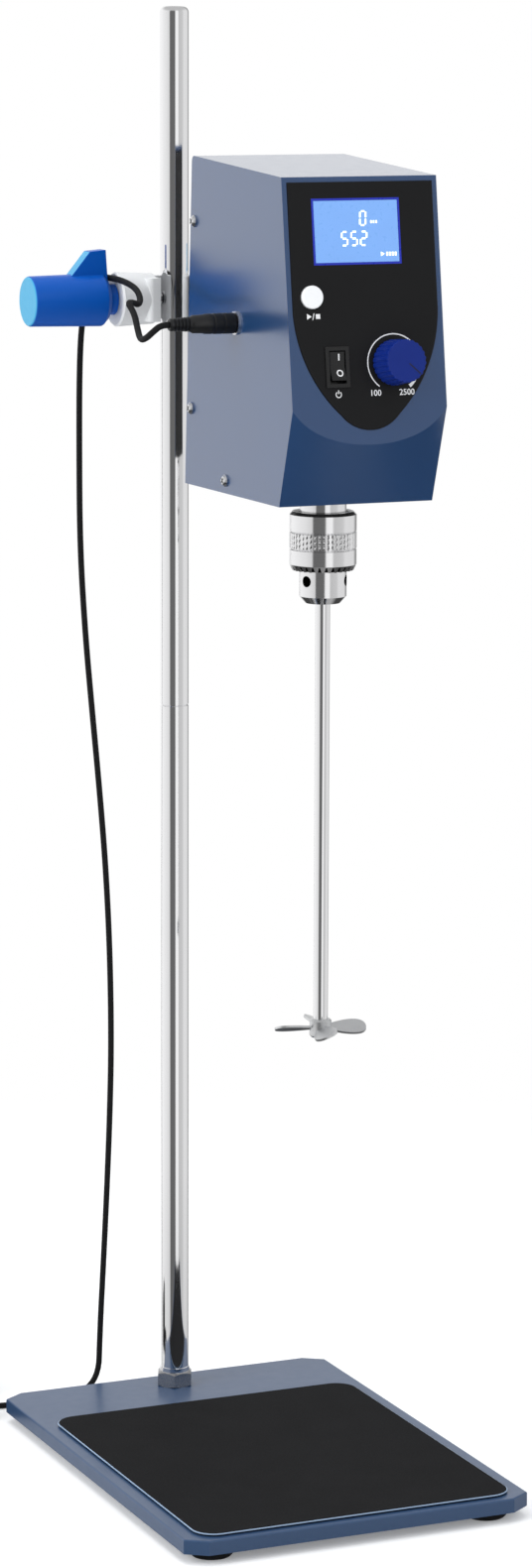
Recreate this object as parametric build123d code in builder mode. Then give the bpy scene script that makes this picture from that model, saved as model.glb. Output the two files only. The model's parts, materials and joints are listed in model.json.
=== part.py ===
from build123d import *
import os
from math import atan2, cos, degrees, pi, radians, sin, tan

os.makedirs("parts", exist_ok=True)

# Laboratory overhead stirrer: a motor head with a keyed chuck and a propeller stirrer,
# held by a boss-head clamp on the rod of a plate stand. All sizes are in millimetres.
# The origin is the middle of the base plate on the bench, +X to the right, +Y to the back.

# ---------------------------------------------------------------- driving dimensions
# clearances
SLIDE_GAP = 0.3          # between pieces that slide or turn past each other
FIT_GAP = 0.1            # between a fastener and its hole, on the radius
SEAT_GAP = 0.15          # round a moulding that drops into its cut-out

# stand
FOOT_H = 5.5
FOOT_D = 24.0
FOOT_INSET_X = 20.0
FOOT_INSET_Y = 18.0
FOOT_SCREW_D = 4.0
FOOT_SCREW_HEAD_D = 7.6
FOOT_SCREW_HEAD_H = 2.2
FOOT_SEAT_H = 3.0        # underside of the foot's screw seat above the bench
FOOT_SCREW_BITE = 6.0    # depth of the tapped hole in the plate
BASE_W = 200.0
BASE_D = 280.0
BASE_T = 8.0
BASE_CORNER_X = 11.5
BASE_CORNER_Y = 7.8
BASE_EDGE_R = 1.0
MAT_W = 182.0
MAT_D = 216.0
MAT_T = 2.0
MAT_R = 12.0
MAT_FRONT_MARGIN = 5.5

# upright rod
ROD_D = 16.0
ROD_BACK_INSET = 18.0
ROD_TOP = 800.0
ROD_JOINT_Z = 411.5
ROD_DOME_R = 3.5
ROD_SEAM_BEVEL = 0.5
ROD_FOOT_STUD_D = 12.0
ROD_NUT_AF = 19.0
ROD_NUT_H = 8.5
ROD_NUT_TURN = 6.4       # degrees, so that a corner points to the front left
ROD_WASHER_D = 17.0
ROD_WASHER_H = 2.5
ROD_STUD_D = 10.0
ROD_STUD_BITE = 18.0

# boss-head clamp
CLAMP_Z = 640.0
CLAMP_H = 24.0
CLAMP_BACK_WALL = 6.5
CLAMP_FRONT_REACH = 14.6
CLAMP_JAW_X = 14.0       # left face of the rod slot, from the rod's axis
CLAMP_LEFT_WALL = 7.0
CLAMP_RIGHT_WALL = 6.0
CLAMP_R = 3.0
BOSS_D = 28.0
BOSS_END_D = 30.0
BOSS_END_X = 36.0        # end of the left boss, from the rod's axis
BAR_BOSS_L = 12.0
BOSS_ROOT = 1.0          # how far the bosses run into the slots before these are cut
SCREW_D = 8.0
SCREW_TIP_D = 6.5
SCREW_TIP_L = 3.0
SCREW_GRIP_L = 24.0      # length of the screw inside its knob
KNOB_D = 27.6
KNOB_ROOT_D = 29.2
KNOB_L = 45.5
KNOB_NECK_D = 17.0
KNOB_NECK_L = 5.2
KNOB_SHOULDER = 3.0
KNOB_BEVEL = 0.8
FIN_T = 9.0
FIN_R = 27.6
FIN_TOP_L = 9.5
FIN_FOOT_L = 22.0
FIN_START = 1.0

# motor head
HEAD_X = 22.0            # middle of the head, and the mounting bar's axis
HEAD_W = 88.0
HEAD_BOTTOM = 544.4
HEAD_KINK_Z = 595.6
HEAD_KINK_Y = -90.4
HEAD_FRONT_TOP_Z = 714.6
HEAD_FRONT_TOP_Y = -74.6
HEAD_BACK_TOP_Y = 44.0
HEAD_BACK_TOP_Z = 721.6
HEAD_BACK_BOTTOM_Y = 53.5
HEAD_CHIN_Y = -73.5      # straight lower front edge
HEAD_BULGE = 14.4        # how far the lower front stands out in the middle, at the loft's top
HEAD_LOFT_Z = 600.0
HEAD_WALL = 2.5
HEAD_EDGE_R = 3.0
CHASSIS_RECESS = 1.0
CHASSIS_T = 4.0
FLANGE_T = 3.0
FLANGE_L = 13.0
BAR_D = 12.0
BAR_STUD_D = 10.0
BAR_BOSS_D = 26.0
BAR_BOSS_Y = 56.0
BAR_END_Y = 139.5
BAR_NUT_AF = 17.0
BAR_NUT_H = 6.0
SIDE_SCREW_D = 3.0
SIDE_SCREW_HEAD_D = 6.4
SIDE_SCREW_HEAD_H = 2.2
SIDE_SCREW_L = 7.0
SIDE_SCREWS = [(40.2, 686.7), (44.3, 586.0), (-3.2, 551.4)]   # Y and Z of each

# control panel, in the plane of the sloping front: x from the middle, s up from the kink
PANEL_HALF_W = 41.3
PANEL_TOP = 117.3
PANEL_SHOULDER = 50.0
PANEL_WAIST = (34.6, 22.0)
PANEL_CHIN = (16.7, -3.0)
PANEL_TIP = -11.0
PANEL_T = 1.6
PANEL_PROUD = 0.6
PANEL_PLUG_T = 2.4
PANEL_LIP = 4.0
WINDOW_W = 47.6
WINDOW_H = 32.0
WINDOW_AT = (-3.3, 91.7)
WINDOW_T = 1.4
MODULE_MARGIN = 2.0
MODULE_T = 6.0
BUTTON_AT = (-30.3, 58.3)
BUTTON_D = 12.0
BUTTON_PROUD = 2.2
BUTTON_STEM_D = 6.0
BUTTON_TRAVEL = 0.8
SWITCH_AT = (-17.8, 22.0)
SWITCH_W = 13.6
SWITCH_H = 21.4
SWITCH_RIM = 1.5
SWITCH_PROUD = 1.4
SWITCH_BODY_T = 12.0
DIAL_AT = (14.4, 23.5)
DIAL_D = 24.0
DIAL_H = 15.5
DIAL_GRIPS = 24
DIAL_GRIP_R = 0.7
DIAL_SHAFT_D = 6.0
DIAL_HOLE_D = 7.0
ENCODER_D = 16.0
ENCODER_T = 7.0
BOARD_W = 74.0
BOARD_H = 96.0
BOARD_T = 1.6
BOARD_DEPTH = 14.0
BOARD_POST_D = 6.0
BOARD_POSTS = [(-28.0, 35.0), (28.0, 35.0), (-33.2, 107.5), (33.2, 107.5)]

# supply socket and plug
JACK_Y = -16.7
JACK_Z = 636.1
JACK_D = 11.0
JACK_RIM_D = 12.4
JACK_RIM_T = 1.2
JACK_L = 12.0
PLUG_PIN_D = 5.5
PLUG_PIN_L = 9.5
PLUG_D = 11.0
PLUG_L = 25.4
RELIEF_D = 7.8
RELIEF_END_D = 6.8
RELIEF_L = 11.8
CORD_D = 3.4

# drive
SPINDLE_Y = -31.6
SPINDLE_D = 12.0
SPINDLE_COLLAR_D = 25.0
SPINDLE_COLLAR_H = 6.0
BEARING_OD = 28.0
BEARING_H = 8.0
HOUSING_D = 38.0
HOUSING_FLANGE_D = 56.0
HOUSING_FLANGE_T = 4.0
HOUSING_H = 38.0
HOUSING_LIP = 2.0
COUPLER_D = 20.0
COUPLER_H = 24.0
COUPLER_GAP = 3.0
MOTOR_SHAFT_D = 8.0
MOTOR_D = 54.0
MOTOR_H = 74.0
MOTOR_BOSS_D = 22.0
MOTOR_BOSS_H = 2.5
MOUNT_T = 4.0
MOUNT_W = 68.0
POST_D = 8.0
POST_SPAN = 56.0
POST_H = 71.0

# keyed chuck
CHUCK_TOP = 537.0
CHUCK_NOSE_D = 25.5
CHUCK_TIP_D = 19.0
CHUCK_BOTTOM = 487.3
CHUCK_TIP_H = 3.7
SLEEVE_D = 36.0
SLEEVE_TOP = 536.4
SLEEVE_BOTTOM = 505.0
SLEEVE_WALL = 1.9
SLEEVE_ROOF = 6.0
SLEEVE_BEVEL = 1.6
TOOTH_COUNT = 30
TOOTH_H = 3.2
KNURL_BOTTOM = 516.6
KNURL_TOP = 525.7
KNURL_COUNT = 48
KNURL_DEPTH = 0.45
BAND_GROOVE = 0.5
NUT_H = 6.0
CORE_D = 24.4
KEY_HOLE_D = 6.0
KEY_HOLE_Z = 499.5
KEY_HOLE_DEPTH = 5.5
KEY_HOLE_TURN = -37.6    # degrees round the axis, of the first key hole
JAW_TILT = 15.0          # degrees from the spindle's axis
JAW_D = 6.2
JAW_L = 28.0
JAW_TIP_R = 3.6          # distance of a jaw's own axis from the spindle's, at the chuck's tip
JAW_GRIP_GAP = 0.05
SOCKET_GAP = 0.05

# stirrer
SHAFT_D = 8.0
SHAFT_TOP = 520.0
SHAFT_BOTTOM = 250.5
HUB_D = 12.0
HUB_H = 10.0
HUB_Z = 255.0
PROP_R = 25.0
BLADE_T = 1.2
BLADE_W = 12.5
BLADE_ROOT_W = 6.0
BLADE_PITCH = 22.0
BLADE_COUNT = 4
BLADE_TURN = -104.6      # degrees round the axis, of the first blade

# put-away end of the supply cord
COIL_D = 38.0            # to the middle of the bundle
BUNDLE_D = 9.6
COIL_X = -124.0
COIL_Y = 152.0
TIE_W = 5.0
TIE_T = 0.8
TIE_SLACK = 0.6
ADAPTER_W = 42.0
ADAPTER_L = 56.0
ADAPTER_H = 30.0
ADAPTER_R = 4.0
PIN_BLADE_W = 6.3
PIN_BLADE_T = 1.5
PIN_BLADE_L = 16.0
PIN_SPAN = 12.7

# ---------------------------------------------------------------- derived places
BASE_TOP = FOOT_H + BASE_T
FOOT_SPOTS = [
    (side * (BASE_W / 2 - FOOT_INSET_X), end * (BASE_D / 2 - FOOT_INSET_Y))
    for side in (-1, 1)
    for end in (-1, 1)
]
MAT_Y = -BASE_D / 2 + MAT_FRONT_MARGIN + MAT_D / 2
ROD_R = ROD_D / 2
ROD_Y = BASE_D / 2 - ROD_BACK_INSET
ROD_SHOULDER_Z = BASE_TOP + ROD_NUT_H + ROD_WASHER_H

BAR_R = BAR_D / 2
CLAMP_BOTTOM = CLAMP_Z - CLAMP_H / 2
CLAMP_FRONT = ROD_Y - CLAMP_FRONT_REACH
CLAMP_BACK = ROD_Y + ROD_R + SLIDE_GAP + CLAMP_BACK_WALL
CLAMP_LEFT = -CLAMP_JAW_X - CLAMP_LEFT_WALL
BAR_SLOT_R = BAR_R + SLIDE_GAP
CLAMP_RIGHT = HEAD_X + BAR_SLOT_R + CLAMP_RIGHT_WALL

FRONT_TILT = degrees(atan2(HEAD_FRONT_TOP_Y - HEAD_KINK_Y, HEAD_FRONT_TOP_Z - HEAD_KINK_Z))
FRONT = Plane(
    origin=(HEAD_X, HEAD_KINK_Y, HEAD_KINK_Z),
    x_dir=(1, 0, 0),
    z_dir=(0, -cos(radians(FRONT_TILT)), sin(radians(FRONT_TILT))),
)
HEAD_LEFT = HEAD_X - HEAD_W / 2
BACK_SLOPE = (HEAD_BACK_BOTTOM_Y - HEAD_BACK_TOP_Y) / (HEAD_BACK_TOP_Z - HEAD_BOTTOM)
FLOOR_TOP = HEAD_BOTTOM + CHASSIS_RECESS + CHASSIS_T

SPINDLE_R = SPINDLE_D / 2
HOUSING_TOP = FLOOR_TOP + HOUSING_H
SPINDLE_TOP = HOUSING_TOP + COUPLER_GAP + COUPLER_H / 2
COUPLER_BOTTOM = HOUSING_TOP + COUPLER_GAP
MOUNT_Z = FLOOR_TOP + POST_H
MOTOR_Z = MOUNT_Z + MOUNT_T

SHAFT_R = SHAFT_D / 2
SLEEVE_IN_R = SLEEVE_D / 2 - SLEEVE_WALL
NUT_BOTTOM = SLEEVE_BOTTOM + TOOTH_H + SLIDE_GAP
JAW_SLOPE = tan(radians(JAW_TILT))
JAW_ANGLES = [KEY_HOLE_TURN + 60 + 120 * turn for turn in range(3)]


def upright(x, y):
    """Plane through a vertical axis: its x is the radius and its y the height."""
    return Plane(origin=(x, y, 0), x_dir=(1, 0, 0), z_dir=(0, -1, 0))


def turned(plane, outline, mode=Mode.ADD):
    """Revolve a closed outline of (radius, height) points about the plane's y axis."""
    with BuildSketch(plane) as profile:
        with BuildLine():
            Polyline(*outline, close=True)
        make_face()
    revolve(profile.sketch, axis=Axis(plane.origin, plane.y_dir), mode=mode)


def ring(outer_r, inner_r, low, high):
    """Outline of a plain ring for turned()."""
    return [(inner_r, low), (outer_r, low), (outer_r, high), (inner_r, high)]


def rod(radius, low, high):
    """Outline of a plain cylinder for turned()."""
    return ring(radius, 0, low, high)


# ---------------------------------------------------------------- stand
base_outline = [
    (BASE_W / 2, BASE_D / 2 - BASE_CORNER_Y),
    (BASE_W / 2 - BASE_CORNER_X, BASE_D / 2),
    (BASE_CORNER_X - BASE_W / 2, BASE_D / 2),
    (-BASE_W / 2, BASE_D / 2 - BASE_CORNER_Y),
    (-BASE_W / 2, BASE_CORNER_Y - BASE_D / 2),
    (BASE_CORNER_X - BASE_W / 2, -BASE_D / 2),
    (BASE_W / 2 - BASE_CORNER_X, -BASE_D / 2),
    (BASE_W / 2, BASE_CORNER_Y - BASE_D / 2),
]
with BuildPart() as base_plate:
    with BuildSketch(Plane.XY.offset(FOOT_H)):
        with BuildLine():
            Polyline(*base_outline, close=True)
        make_face()
    extrude(amount=BASE_T)
    fillet(base_plate.edges().group_by(Axis.Z)[-1], BASE_EDGE_R)
    with BuildSketch(Plane.XY.offset(FOOT_H)):
        with Locations((0, ROD_Y)):
            Circle(ROD_FOOT_STUD_D / 2 + FIT_GAP)
    extrude(amount=BASE_T, mode=Mode.SUBTRACT)
    with BuildSketch(Plane.XY.offset(FOOT_H)):
        with Locations(*FOOT_SPOTS):
            Circle(FOOT_SCREW_D / 2 + FIT_GAP)
    extrude(amount=FOOT_SCREW_BITE, mode=Mode.SUBTRACT)
base_plate.part.label = "base_plate"
export_step(base_plate.part, "parts/base_plate.step")

with BuildPart() as base_mat:
    with BuildSketch(Plane.XY.offset(BASE_TOP)):
        with Locations((0, MAT_Y)):
            RectangleRounded(MAT_W, MAT_D, MAT_R)
    extrude(amount=MAT_T)
    fillet(base_mat.edges().group_by(Axis.Z)[-1], MAT_T / 4)
base_mat.part.label = "base_mat"
export_step(base_mat.part, "parts/base_mat.step")

with BuildPart() as rubber_feet:
    for spot in FOOT_SPOTS:
        turned(
            upright(*spot),
            [
                (FOOT_SCREW_HEAD_D / 2 + 2 * FIT_GAP, 0),
                (FOOT_D / 2 - 1.5, 0),
                (FOOT_D / 2 - 0.4, 1.2),
                (FOOT_D / 2, FOOT_H),
                (FOOT_SCREW_D / 2 + FIT_GAP, FOOT_H),
                (FOOT_SCREW_D / 2 + FIT_GAP, FOOT_SEAT_H),
                (FOOT_SCREW_HEAD_D / 2 + 2 * FIT_GAP, FOOT_SEAT_H),
            ],
        )
rubber_feet.part.label = "rubber_feet"
export_step(rubber_feet.part, "parts/rubber_feet.step")

with BuildPart() as foot_screws:
    for spot in FOOT_SPOTS:
        turned(
            upright(*spot),
            [
                (0, FOOT_SEAT_H - FOOT_SCREW_HEAD_H),
                (FOOT_SCREW_HEAD_D / 2, FOOT_SEAT_H - FOOT_SCREW_HEAD_H),
                (FOOT_SCREW_HEAD_D / 2, FOOT_SEAT_H),
                (FOOT_SCREW_D / 2, FOOT_SEAT_H),
                (FOOT_SCREW_D / 2, FOOT_H + FOOT_SCREW_BITE - SLIDE_GAP),
                (0, FOOT_H + FOOT_SCREW_BITE - SLIDE_GAP),
            ],
        )
foot_screws.part.label = "foot_screws"
export_step(foot_screws.part, "parts/foot_screws.step")

ROD_AXIS = upright(0, ROD_Y)
with BuildPart() as stand_rod_lower:
    turned(
        ROD_AXIS,
        [
            (0, FOOT_H),
            (ROD_FOOT_STUD_D / 2, FOOT_H),
            (ROD_FOOT_STUD_D / 2, ROD_SHOULDER_Z),
            (ROD_R, ROD_SHOULDER_Z),
            (ROD_R, ROD_JOINT_Z - ROD_SEAM_BEVEL),
            (ROD_R - ROD_SEAM_BEVEL, ROD_JOINT_Z),
            (ROD_STUD_D / 2 + FIT_GAP, ROD_JOINT_Z),
            (ROD_STUD_D / 2 + FIT_GAP, ROD_JOINT_Z - ROD_STUD_BITE),
            (0, ROD_JOINT_Z - ROD_STUD_BITE),
        ],
    )
stand_rod_lower.part.label = "stand_rod_lower"
export_step(stand_rod_lower.part, "parts/stand_rod_lower.step")

with BuildPart() as stand_rod_upper:
    turned(
        ROD_AXIS,
        [
            (0, ROD_JOINT_Z + ROD_STUD_BITE),
            (ROD_STUD_D / 2 + FIT_GAP, ROD_JOINT_Z + ROD_STUD_BITE),
            (ROD_STUD_D / 2 + FIT_GAP, ROD_JOINT_Z),
            (ROD_R - ROD_SEAM_BEVEL, ROD_JOINT_Z),
            (ROD_R, ROD_JOINT_Z + ROD_SEAM_BEVEL),
            (ROD_R, ROD_TOP),
            (0, ROD_TOP),
        ],
    )
    fillet(stand_rod_upper.edges().group_by(Axis.Z)[-1], ROD_DOME_R)
stand_rod_upper.part.label = "stand_rod_upper"
export_step(stand_rod_upper.part, "parts/stand_rod_upper.step")

with BuildPart() as rod_joint_stud:
    turned(ROD_AXIS, rod(ROD_STUD_D / 2, ROD_JOINT_Z - ROD_STUD_BITE, ROD_JOINT_Z + ROD_STUD_BITE))
rod_joint_stud.part.label = "rod_joint_stud"
export_step(rod_joint_stud.part, "parts/rod_joint_stud.step")

with BuildPart() as rod_hex_nut:
    with BuildSketch(Plane.XY.offset(BASE_TOP)):
        with Locations((0, ROD_Y)):
            RegularPolygon(ROD_NUT_AF / 2, 6, major_radius=False, rotation=ROD_NUT_TURN)
            Circle(ROD_FOOT_STUD_D / 2 + FIT_GAP, mode=Mode.SUBTRACT)
    extrude(amount=ROD_NUT_H)
    turned(
        ROD_AXIS,
        [
            (0, BASE_TOP),
            (ROD_NUT_AF / 2, BASE_TOP),
            (ROD_NUT_AF * 0.58, BASE_TOP + 0.8),
            (ROD_NUT_AF * 0.58, BASE_TOP + ROD_NUT_H - 1.2),
            (ROD_NUT_AF / 2 - 0.5, BASE_TOP + ROD_NUT_H),
            (0, BASE_TOP + ROD_NUT_H),
        ],
        mode=Mode.INTERSECT,
    )
rod_hex_nut.part.label = "rod_hex_nut"
export_step(rod_hex_nut.part, "parts/rod_hex_nut.step")

with BuildPart() as rod_washer:
    washer_bottom = BASE_TOP + ROD_NUT_H
    turned(
        ROD_AXIS,
        ring(ROD_WASHER_D / 2, ROD_FOOT_STUD_D / 2 + FIT_GAP, washer_bottom, ROD_SHOULDER_Z),
    )
rod_washer.part.label = "rod_washer"
export_step(rod_washer.part, "parts/rod_washer.step")

# ---------------------------------------------------------------- boss-head clamp
# Screw axes run out along X: the plane's x points up, its y out along the axis.
LEFT_AXIS = Plane(origin=(-BOSS_END_X, ROD_Y, CLAMP_Z), x_dir=(0, 0, 1), z_dir=(0, -1, 0))
BAR_BOSS_END = CLAMP_RIGHT + BAR_BOSS_L
RIGHT_AXIS = Plane(origin=(BAR_BOSS_END, ROD_Y, CLAMP_Z), x_dir=(0, 0, 1), z_dir=(0, 1, 0))
BOSS_L = BOSS_END_X - CLAMP_JAW_X

with BuildPart() as clamp_body:
    with BuildSketch(Plane.XY.offset(CLAMP_BOTTOM)):
        with Locations(((CLAMP_LEFT + CLAMP_RIGHT) / 2, (CLAMP_FRONT + CLAMP_BACK) / 2)):
            RectangleRounded(CLAMP_RIGHT - CLAMP_LEFT, CLAMP_BACK - CLAMP_FRONT, CLAMP_R)
    extrude(amount=CLAMP_H)
    # tapered boss that carries the rod's screw, and the shorter one that carries the bar's
    turned(
        LEFT_AXIS,
        [
            (0, 0),
            (BOSS_END_D / 2 - 1, 0),
            (BOSS_END_D / 2, -1),
            (BOSS_D / 2, -BOSS_L),
            (BOSS_D / 2, -BOSS_L - BOSS_ROOT),
            (0, -BOSS_L - BOSS_ROOT),
        ],
    )
    right_root = -BAR_BOSS_L - CLAMP_RIGHT_WALL - BOSS_ROOT
    turned(
        RIGHT_AXIS,
        [
            (0, 0),
            (BOSS_D / 2 - 2, 0),
            (BOSS_D / 2 - 1, -1),
            (BOSS_D / 2 - 1, right_root),
            (0, right_root),
        ],
    )
    # slot that hooks round the upright rod, open to the front
    with BuildSketch(Plane.XY.offset(CLAMP_Z - BOSS_D)) as rod_slot:
        slot_right = ROD_R + SLIDE_GAP
        slot_back = ROD_Y + ROD_R + SLIDE_GAP
        with Locations(((slot_right - CLAMP_JAW_X) / 2, (slot_back + CLAMP_FRONT - 1) / 2)):
            Rectangle(slot_right + CLAMP_JAW_X, slot_back - CLAMP_FRONT + 1)
        fillet(rod_slot.vertices().group_by(Axis.Y)[-1], CLAMP_R)
    extrude(amount=2 * BOSS_D, mode=Mode.SUBTRACT)
    # slot that cradles the mounting bar, open to the top
    with BuildSketch(Plane.XZ.offset(-CLAMP_BACK - 1)):
        with Locations((HEAD_X, CLAMP_Z)):
            Circle(BAR_SLOT_R)
        with Locations((HEAD_X, CLAMP_Z + BOSS_D / 2)):
            Rectangle(2 * BAR_SLOT_R, BOSS_D)
    extrude(amount=CLAMP_BACK - CLAMP_FRONT + 2, mode=Mode.SUBTRACT)
    # tapped holes
    turned(LEFT_AXIS, rod(SCREW_D / 2 + FIT_GAP, -BOSS_L - 1, 1), mode=Mode.SUBTRACT)
    turned(
        RIGHT_AXIS,
        rod(SCREW_D / 2 + FIT_GAP, right_root - 1, 1),
        mode=Mode.SUBTRACT,
    )
clamp_body.part.label = "clamp_body"
export_step(clamp_body.part, "parts/clamp_body.step")


def clamp_screw(axis, reach):
    """Spindle of a clamp: its tip stands in by reach from the boss's end face."""
    with BuildPart() as screw:
        turned(
            axis,
            [
                (0, -reach),
                (SCREW_TIP_D / 2, -reach),
                (SCREW_TIP_D / 2, SCREW_TIP_L - reach),
                (SCREW_D / 2, SCREW_TIP_L - reach + 0.6),
                (SCREW_D / 2, KNOB_NECK_L + SCREW_GRIP_L),
                (0, KNOB_NECK_L + SCREW_GRIP_L),
            ],
        )
    return screw.part


def clamp_knob(axis):
    """Long grip with one wing, on a neck that stands just off the boss."""
    root = SLIDE_GAP + KNOB_NECK_L
    tip = root + KNOB_L
    with BuildPart() as knob:
        turned(
            axis,
            [
                (0, SLIDE_GAP),
                (KNOB_NECK_D / 2, SLIDE_GAP),
                (KNOB_NECK_D / 2, root),
                (KNOB_ROOT_D / 2 - KNOB_SHOULDER, root),
                (KNOB_ROOT_D / 2, root + KNOB_SHOULDER),
                (KNOB_D / 2, tip - KNOB_BEVEL),
                (KNOB_D / 2 - KNOB_BEVEL, tip),
                (0, tip),
            ],
        )
        with BuildSketch(axis) as wing:
            with BuildLine():
                Polyline(
                    (KNOB_NECK_D / 2, root),
                    (KNOB_D / 2 - 1, root),
                    (FIN_R, root + FIN_START),
                    (FIN_R - 0.8, root + FIN_START + FIN_TOP_L),
                    (KNOB_D / 2 - 1, root + FIN_FOOT_L),
                    (KNOB_NECK_D / 2, root + FIN_FOOT_L),
                    close=True,
                )
            make_face()
        extrude(wing.sketch, amount=FIN_T / 2, both=True)
        turned(axis, rod(SCREW_D / 2 + FIT_GAP / 2, 0, KNOB_NECK_L + SCREW_GRIP_L), mode=Mode.SUBTRACT)
    return knob.part


rod_clamp_screw = clamp_screw(LEFT_AXIS, BOSS_END_X - ROD_R - SLIDE_GAP)
rod_clamp_screw.label = "rod_clamp_screw"
export_step(rod_clamp_screw, "parts/rod_clamp_screw.step")

rod_clamp_knob = clamp_knob(LEFT_AXIS)
rod_clamp_knob.label = "rod_clamp_knob"
export_step(rod_clamp_knob, "parts/rod_clamp_knob.step")

bar_clamp_screw = clamp_screw(RIGHT_AXIS, BAR_BOSS_END - HEAD_X - BAR_R - SLIDE_GAP)
bar_clamp_screw.label = "bar_clamp_screw"
export_step(bar_clamp_screw, "parts/bar_clamp_screw.step")

bar_clamp_knob = clamp_knob(RIGHT_AXIS)
bar_clamp_knob.label = "bar_clamp_knob"
export_step(bar_clamp_knob, "parts/bar_clamp_knob.step")

# ---------------------------------------------------------------- motor head shell


def head_form(inset, opening):
    """Closed form of the motor head. Its front, top and sides are drawn in by inset;
    its back and underside are pushed out by opening."""
    half = HEAD_W / 2 - inset
    bottom = HEAD_BOTTOM - opening
    chin_slope = (HEAD_CHIN_Y - HEAD_KINK_Y) / (HEAD_KINK_Z - HEAD_BOTTOM)
    edge_y = HEAD_CHIN_Y + inset - chin_slope * (HEAD_LOFT_Z - HEAD_BOTTOM)
    rear_y = HEAD_BACK_BOTTOM_Y + 20
    far_y = HEAD_KINK_Y - 40
    with BuildPart() as form:
        # lower part: straight chin at the bottom, bowed front higher up
        with BuildSketch(Plane.XY.offset(bottom)):
            chin_y = HEAD_CHIN_Y + inset + opening * chin_slope
            with BuildLine():
                Polyline(
                    (HEAD_X - half, chin_y),
                    (HEAD_X + half, chin_y),
                    (HEAD_X + half, rear_y),
                    (HEAD_X - half, rear_y),
                    close=True,
                )
            make_face()
        with BuildSketch(Plane.XY.offset(HEAD_LOFT_Z)):
            with BuildLine():
                ThreePointArc(
                    (HEAD_X - half, edge_y),
                    (HEAD_X, edge_y - HEAD_BULGE),
                    (HEAD_X + half, edge_y),
                )
                Polyline(
                    (HEAD_X + half, edge_y),
                    (HEAD_X + half, rear_y),
                    (HEAD_X - half, rear_y),
                    (HEAD_X - half, edge_y),
                )
            make_face()
        loft(ruled=True)
        with BuildSketch(Plane.XY.offset(HEAD_LOFT_Z)):
            with Locations((HEAD_X, (far_y + rear_y) / 2)):
                Rectangle(2 * half, rear_y - far_y)
        extrude(amount=HEAD_BACK_TOP_Z - HEAD_LOFT_Z + 10)
        # side profile: sloping front, gently rising top, leaning back
        lean = tan(radians(FRONT_TILT))
        front_low_y = HEAD_KINK_Y - (HEAD_KINK_Z - bottom) * lean + inset / cos(radians(FRONT_TILT))
        front_high_y = HEAD_FRONT_TOP_Y + inset / cos(radians(FRONT_TILT)) - inset * lean
        back_low_y = HEAD_BACK_BOTTOM_Y + opening * (1 + BACK_SLOPE)
        with BuildSketch(Plane.YZ.offset(HEAD_LEFT + inset)):
            with BuildLine():
                Polyline(
                    (front_low_y, bottom),
                    (back_low_y, bottom),
                    (HEAD_BACK_TOP_Y + opening, HEAD_BACK_TOP_Z - inset),
                    (front_high_y, HEAD_FRONT_TOP_Z - inset),
                    close=True,
                )
            make_face()
        extrude(amount=2 * half, mode=Mode.INTERSECT)
    return form.part


def panel_outline(shrink):
    """Shield-shaped face in the plane of the front, drawn in by shrink."""
    with BuildSketch(FRONT) as shield:
        with BuildLine():
            right = Polyline((0, PANEL_TOP), (PANEL_HALF_W, PANEL_TOP), (PANEL_HALF_W, PANEL_SHOULDER))
            ThreePointArc(right @ 1, PANEL_WAIST, PANEL_CHIN)
            ThreePointArc(PANEL_CHIN, (0, PANEL_TIP), (-PANEL_CHIN[0], PANEL_CHIN[1]))
            ThreePointArc(
                (-PANEL_CHIN[0], PANEL_CHIN[1]),
                (-PANEL_WAIST[0], PANEL_WAIST[1]),
                (-PANEL_HALF_W, PANEL_SHOULDER),
            )
            Polyline((-PANEL_HALF_W, PANEL_SHOULDER), (-PANEL_HALF_W, PANEL_TOP), (0, PANEL_TOP))
        make_face()
        if shrink > 0:
            offset(amount=-shrink, kind=Kind.INTERSECTION)
    return shield.sketch


def front_box(at, width, height, near, far, mode):
    """Box across the front: near and far are heights over the front plane."""
    with BuildSketch(FRONT.offset(near)) as face:
        with Locations(at):
            Rectangle(width, height)
    extrude(face.sketch, amount=far - near, mode=mode)


def front_disc(at, diameter, near, far, mode):
    """Cylinder square to the front: near and far are heights over the front plane."""
    with BuildSketch(FRONT.offset(near)) as face:
        with Locations(at):
            Circle(diameter / 2)
    extrude(face.sketch, amount=far - near, mode=mode)


POCKET = PANEL_T - PANEL_PROUD     # depth of the panel's seat in the front
with BuildPart() as head_cover:
    add(head_form(0, 0))
    fillet(head_cover.edges().filter_by(lambda e: e.length > 60).group_by(Axis.Z)[-1], HEAD_EDGE_R)
    add(head_form(HEAD_WALL, CHASSIS_RECESS), mode=Mode.SUBTRACT)
    extrude(panel_outline(0), amount=-POCKET, mode=Mode.SUBTRACT)
    extrude(panel_outline(PANEL_LIP), amount=-HEAD_WALL - 2, mode=Mode.SUBTRACT)
    # socket hole in the left side
    with BuildSketch(Plane.YZ.offset(HEAD_LEFT - 1)):
        with Locations((JACK_Y, JACK_Z)):
            Circle(JACK_D / 2 + FIT_GAP)
    extrude(amount=HEAD_WALL + 2, mode=Mode.SUBTRACT)
    # side screw holes, through both sides
    with BuildSketch(Plane.YZ.offset(HEAD_LEFT - 1)):
        with Locations(*SIDE_SCREWS):
            Circle(SIDE_SCREW_D / 2 + FIT_GAP)
    extrude(amount=HEAD_W + 2, mode=Mode.SUBTRACT)
head_cover.part.label = "head_cover"
export_step(head_cover.part, "parts/head_cover.step")

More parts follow.
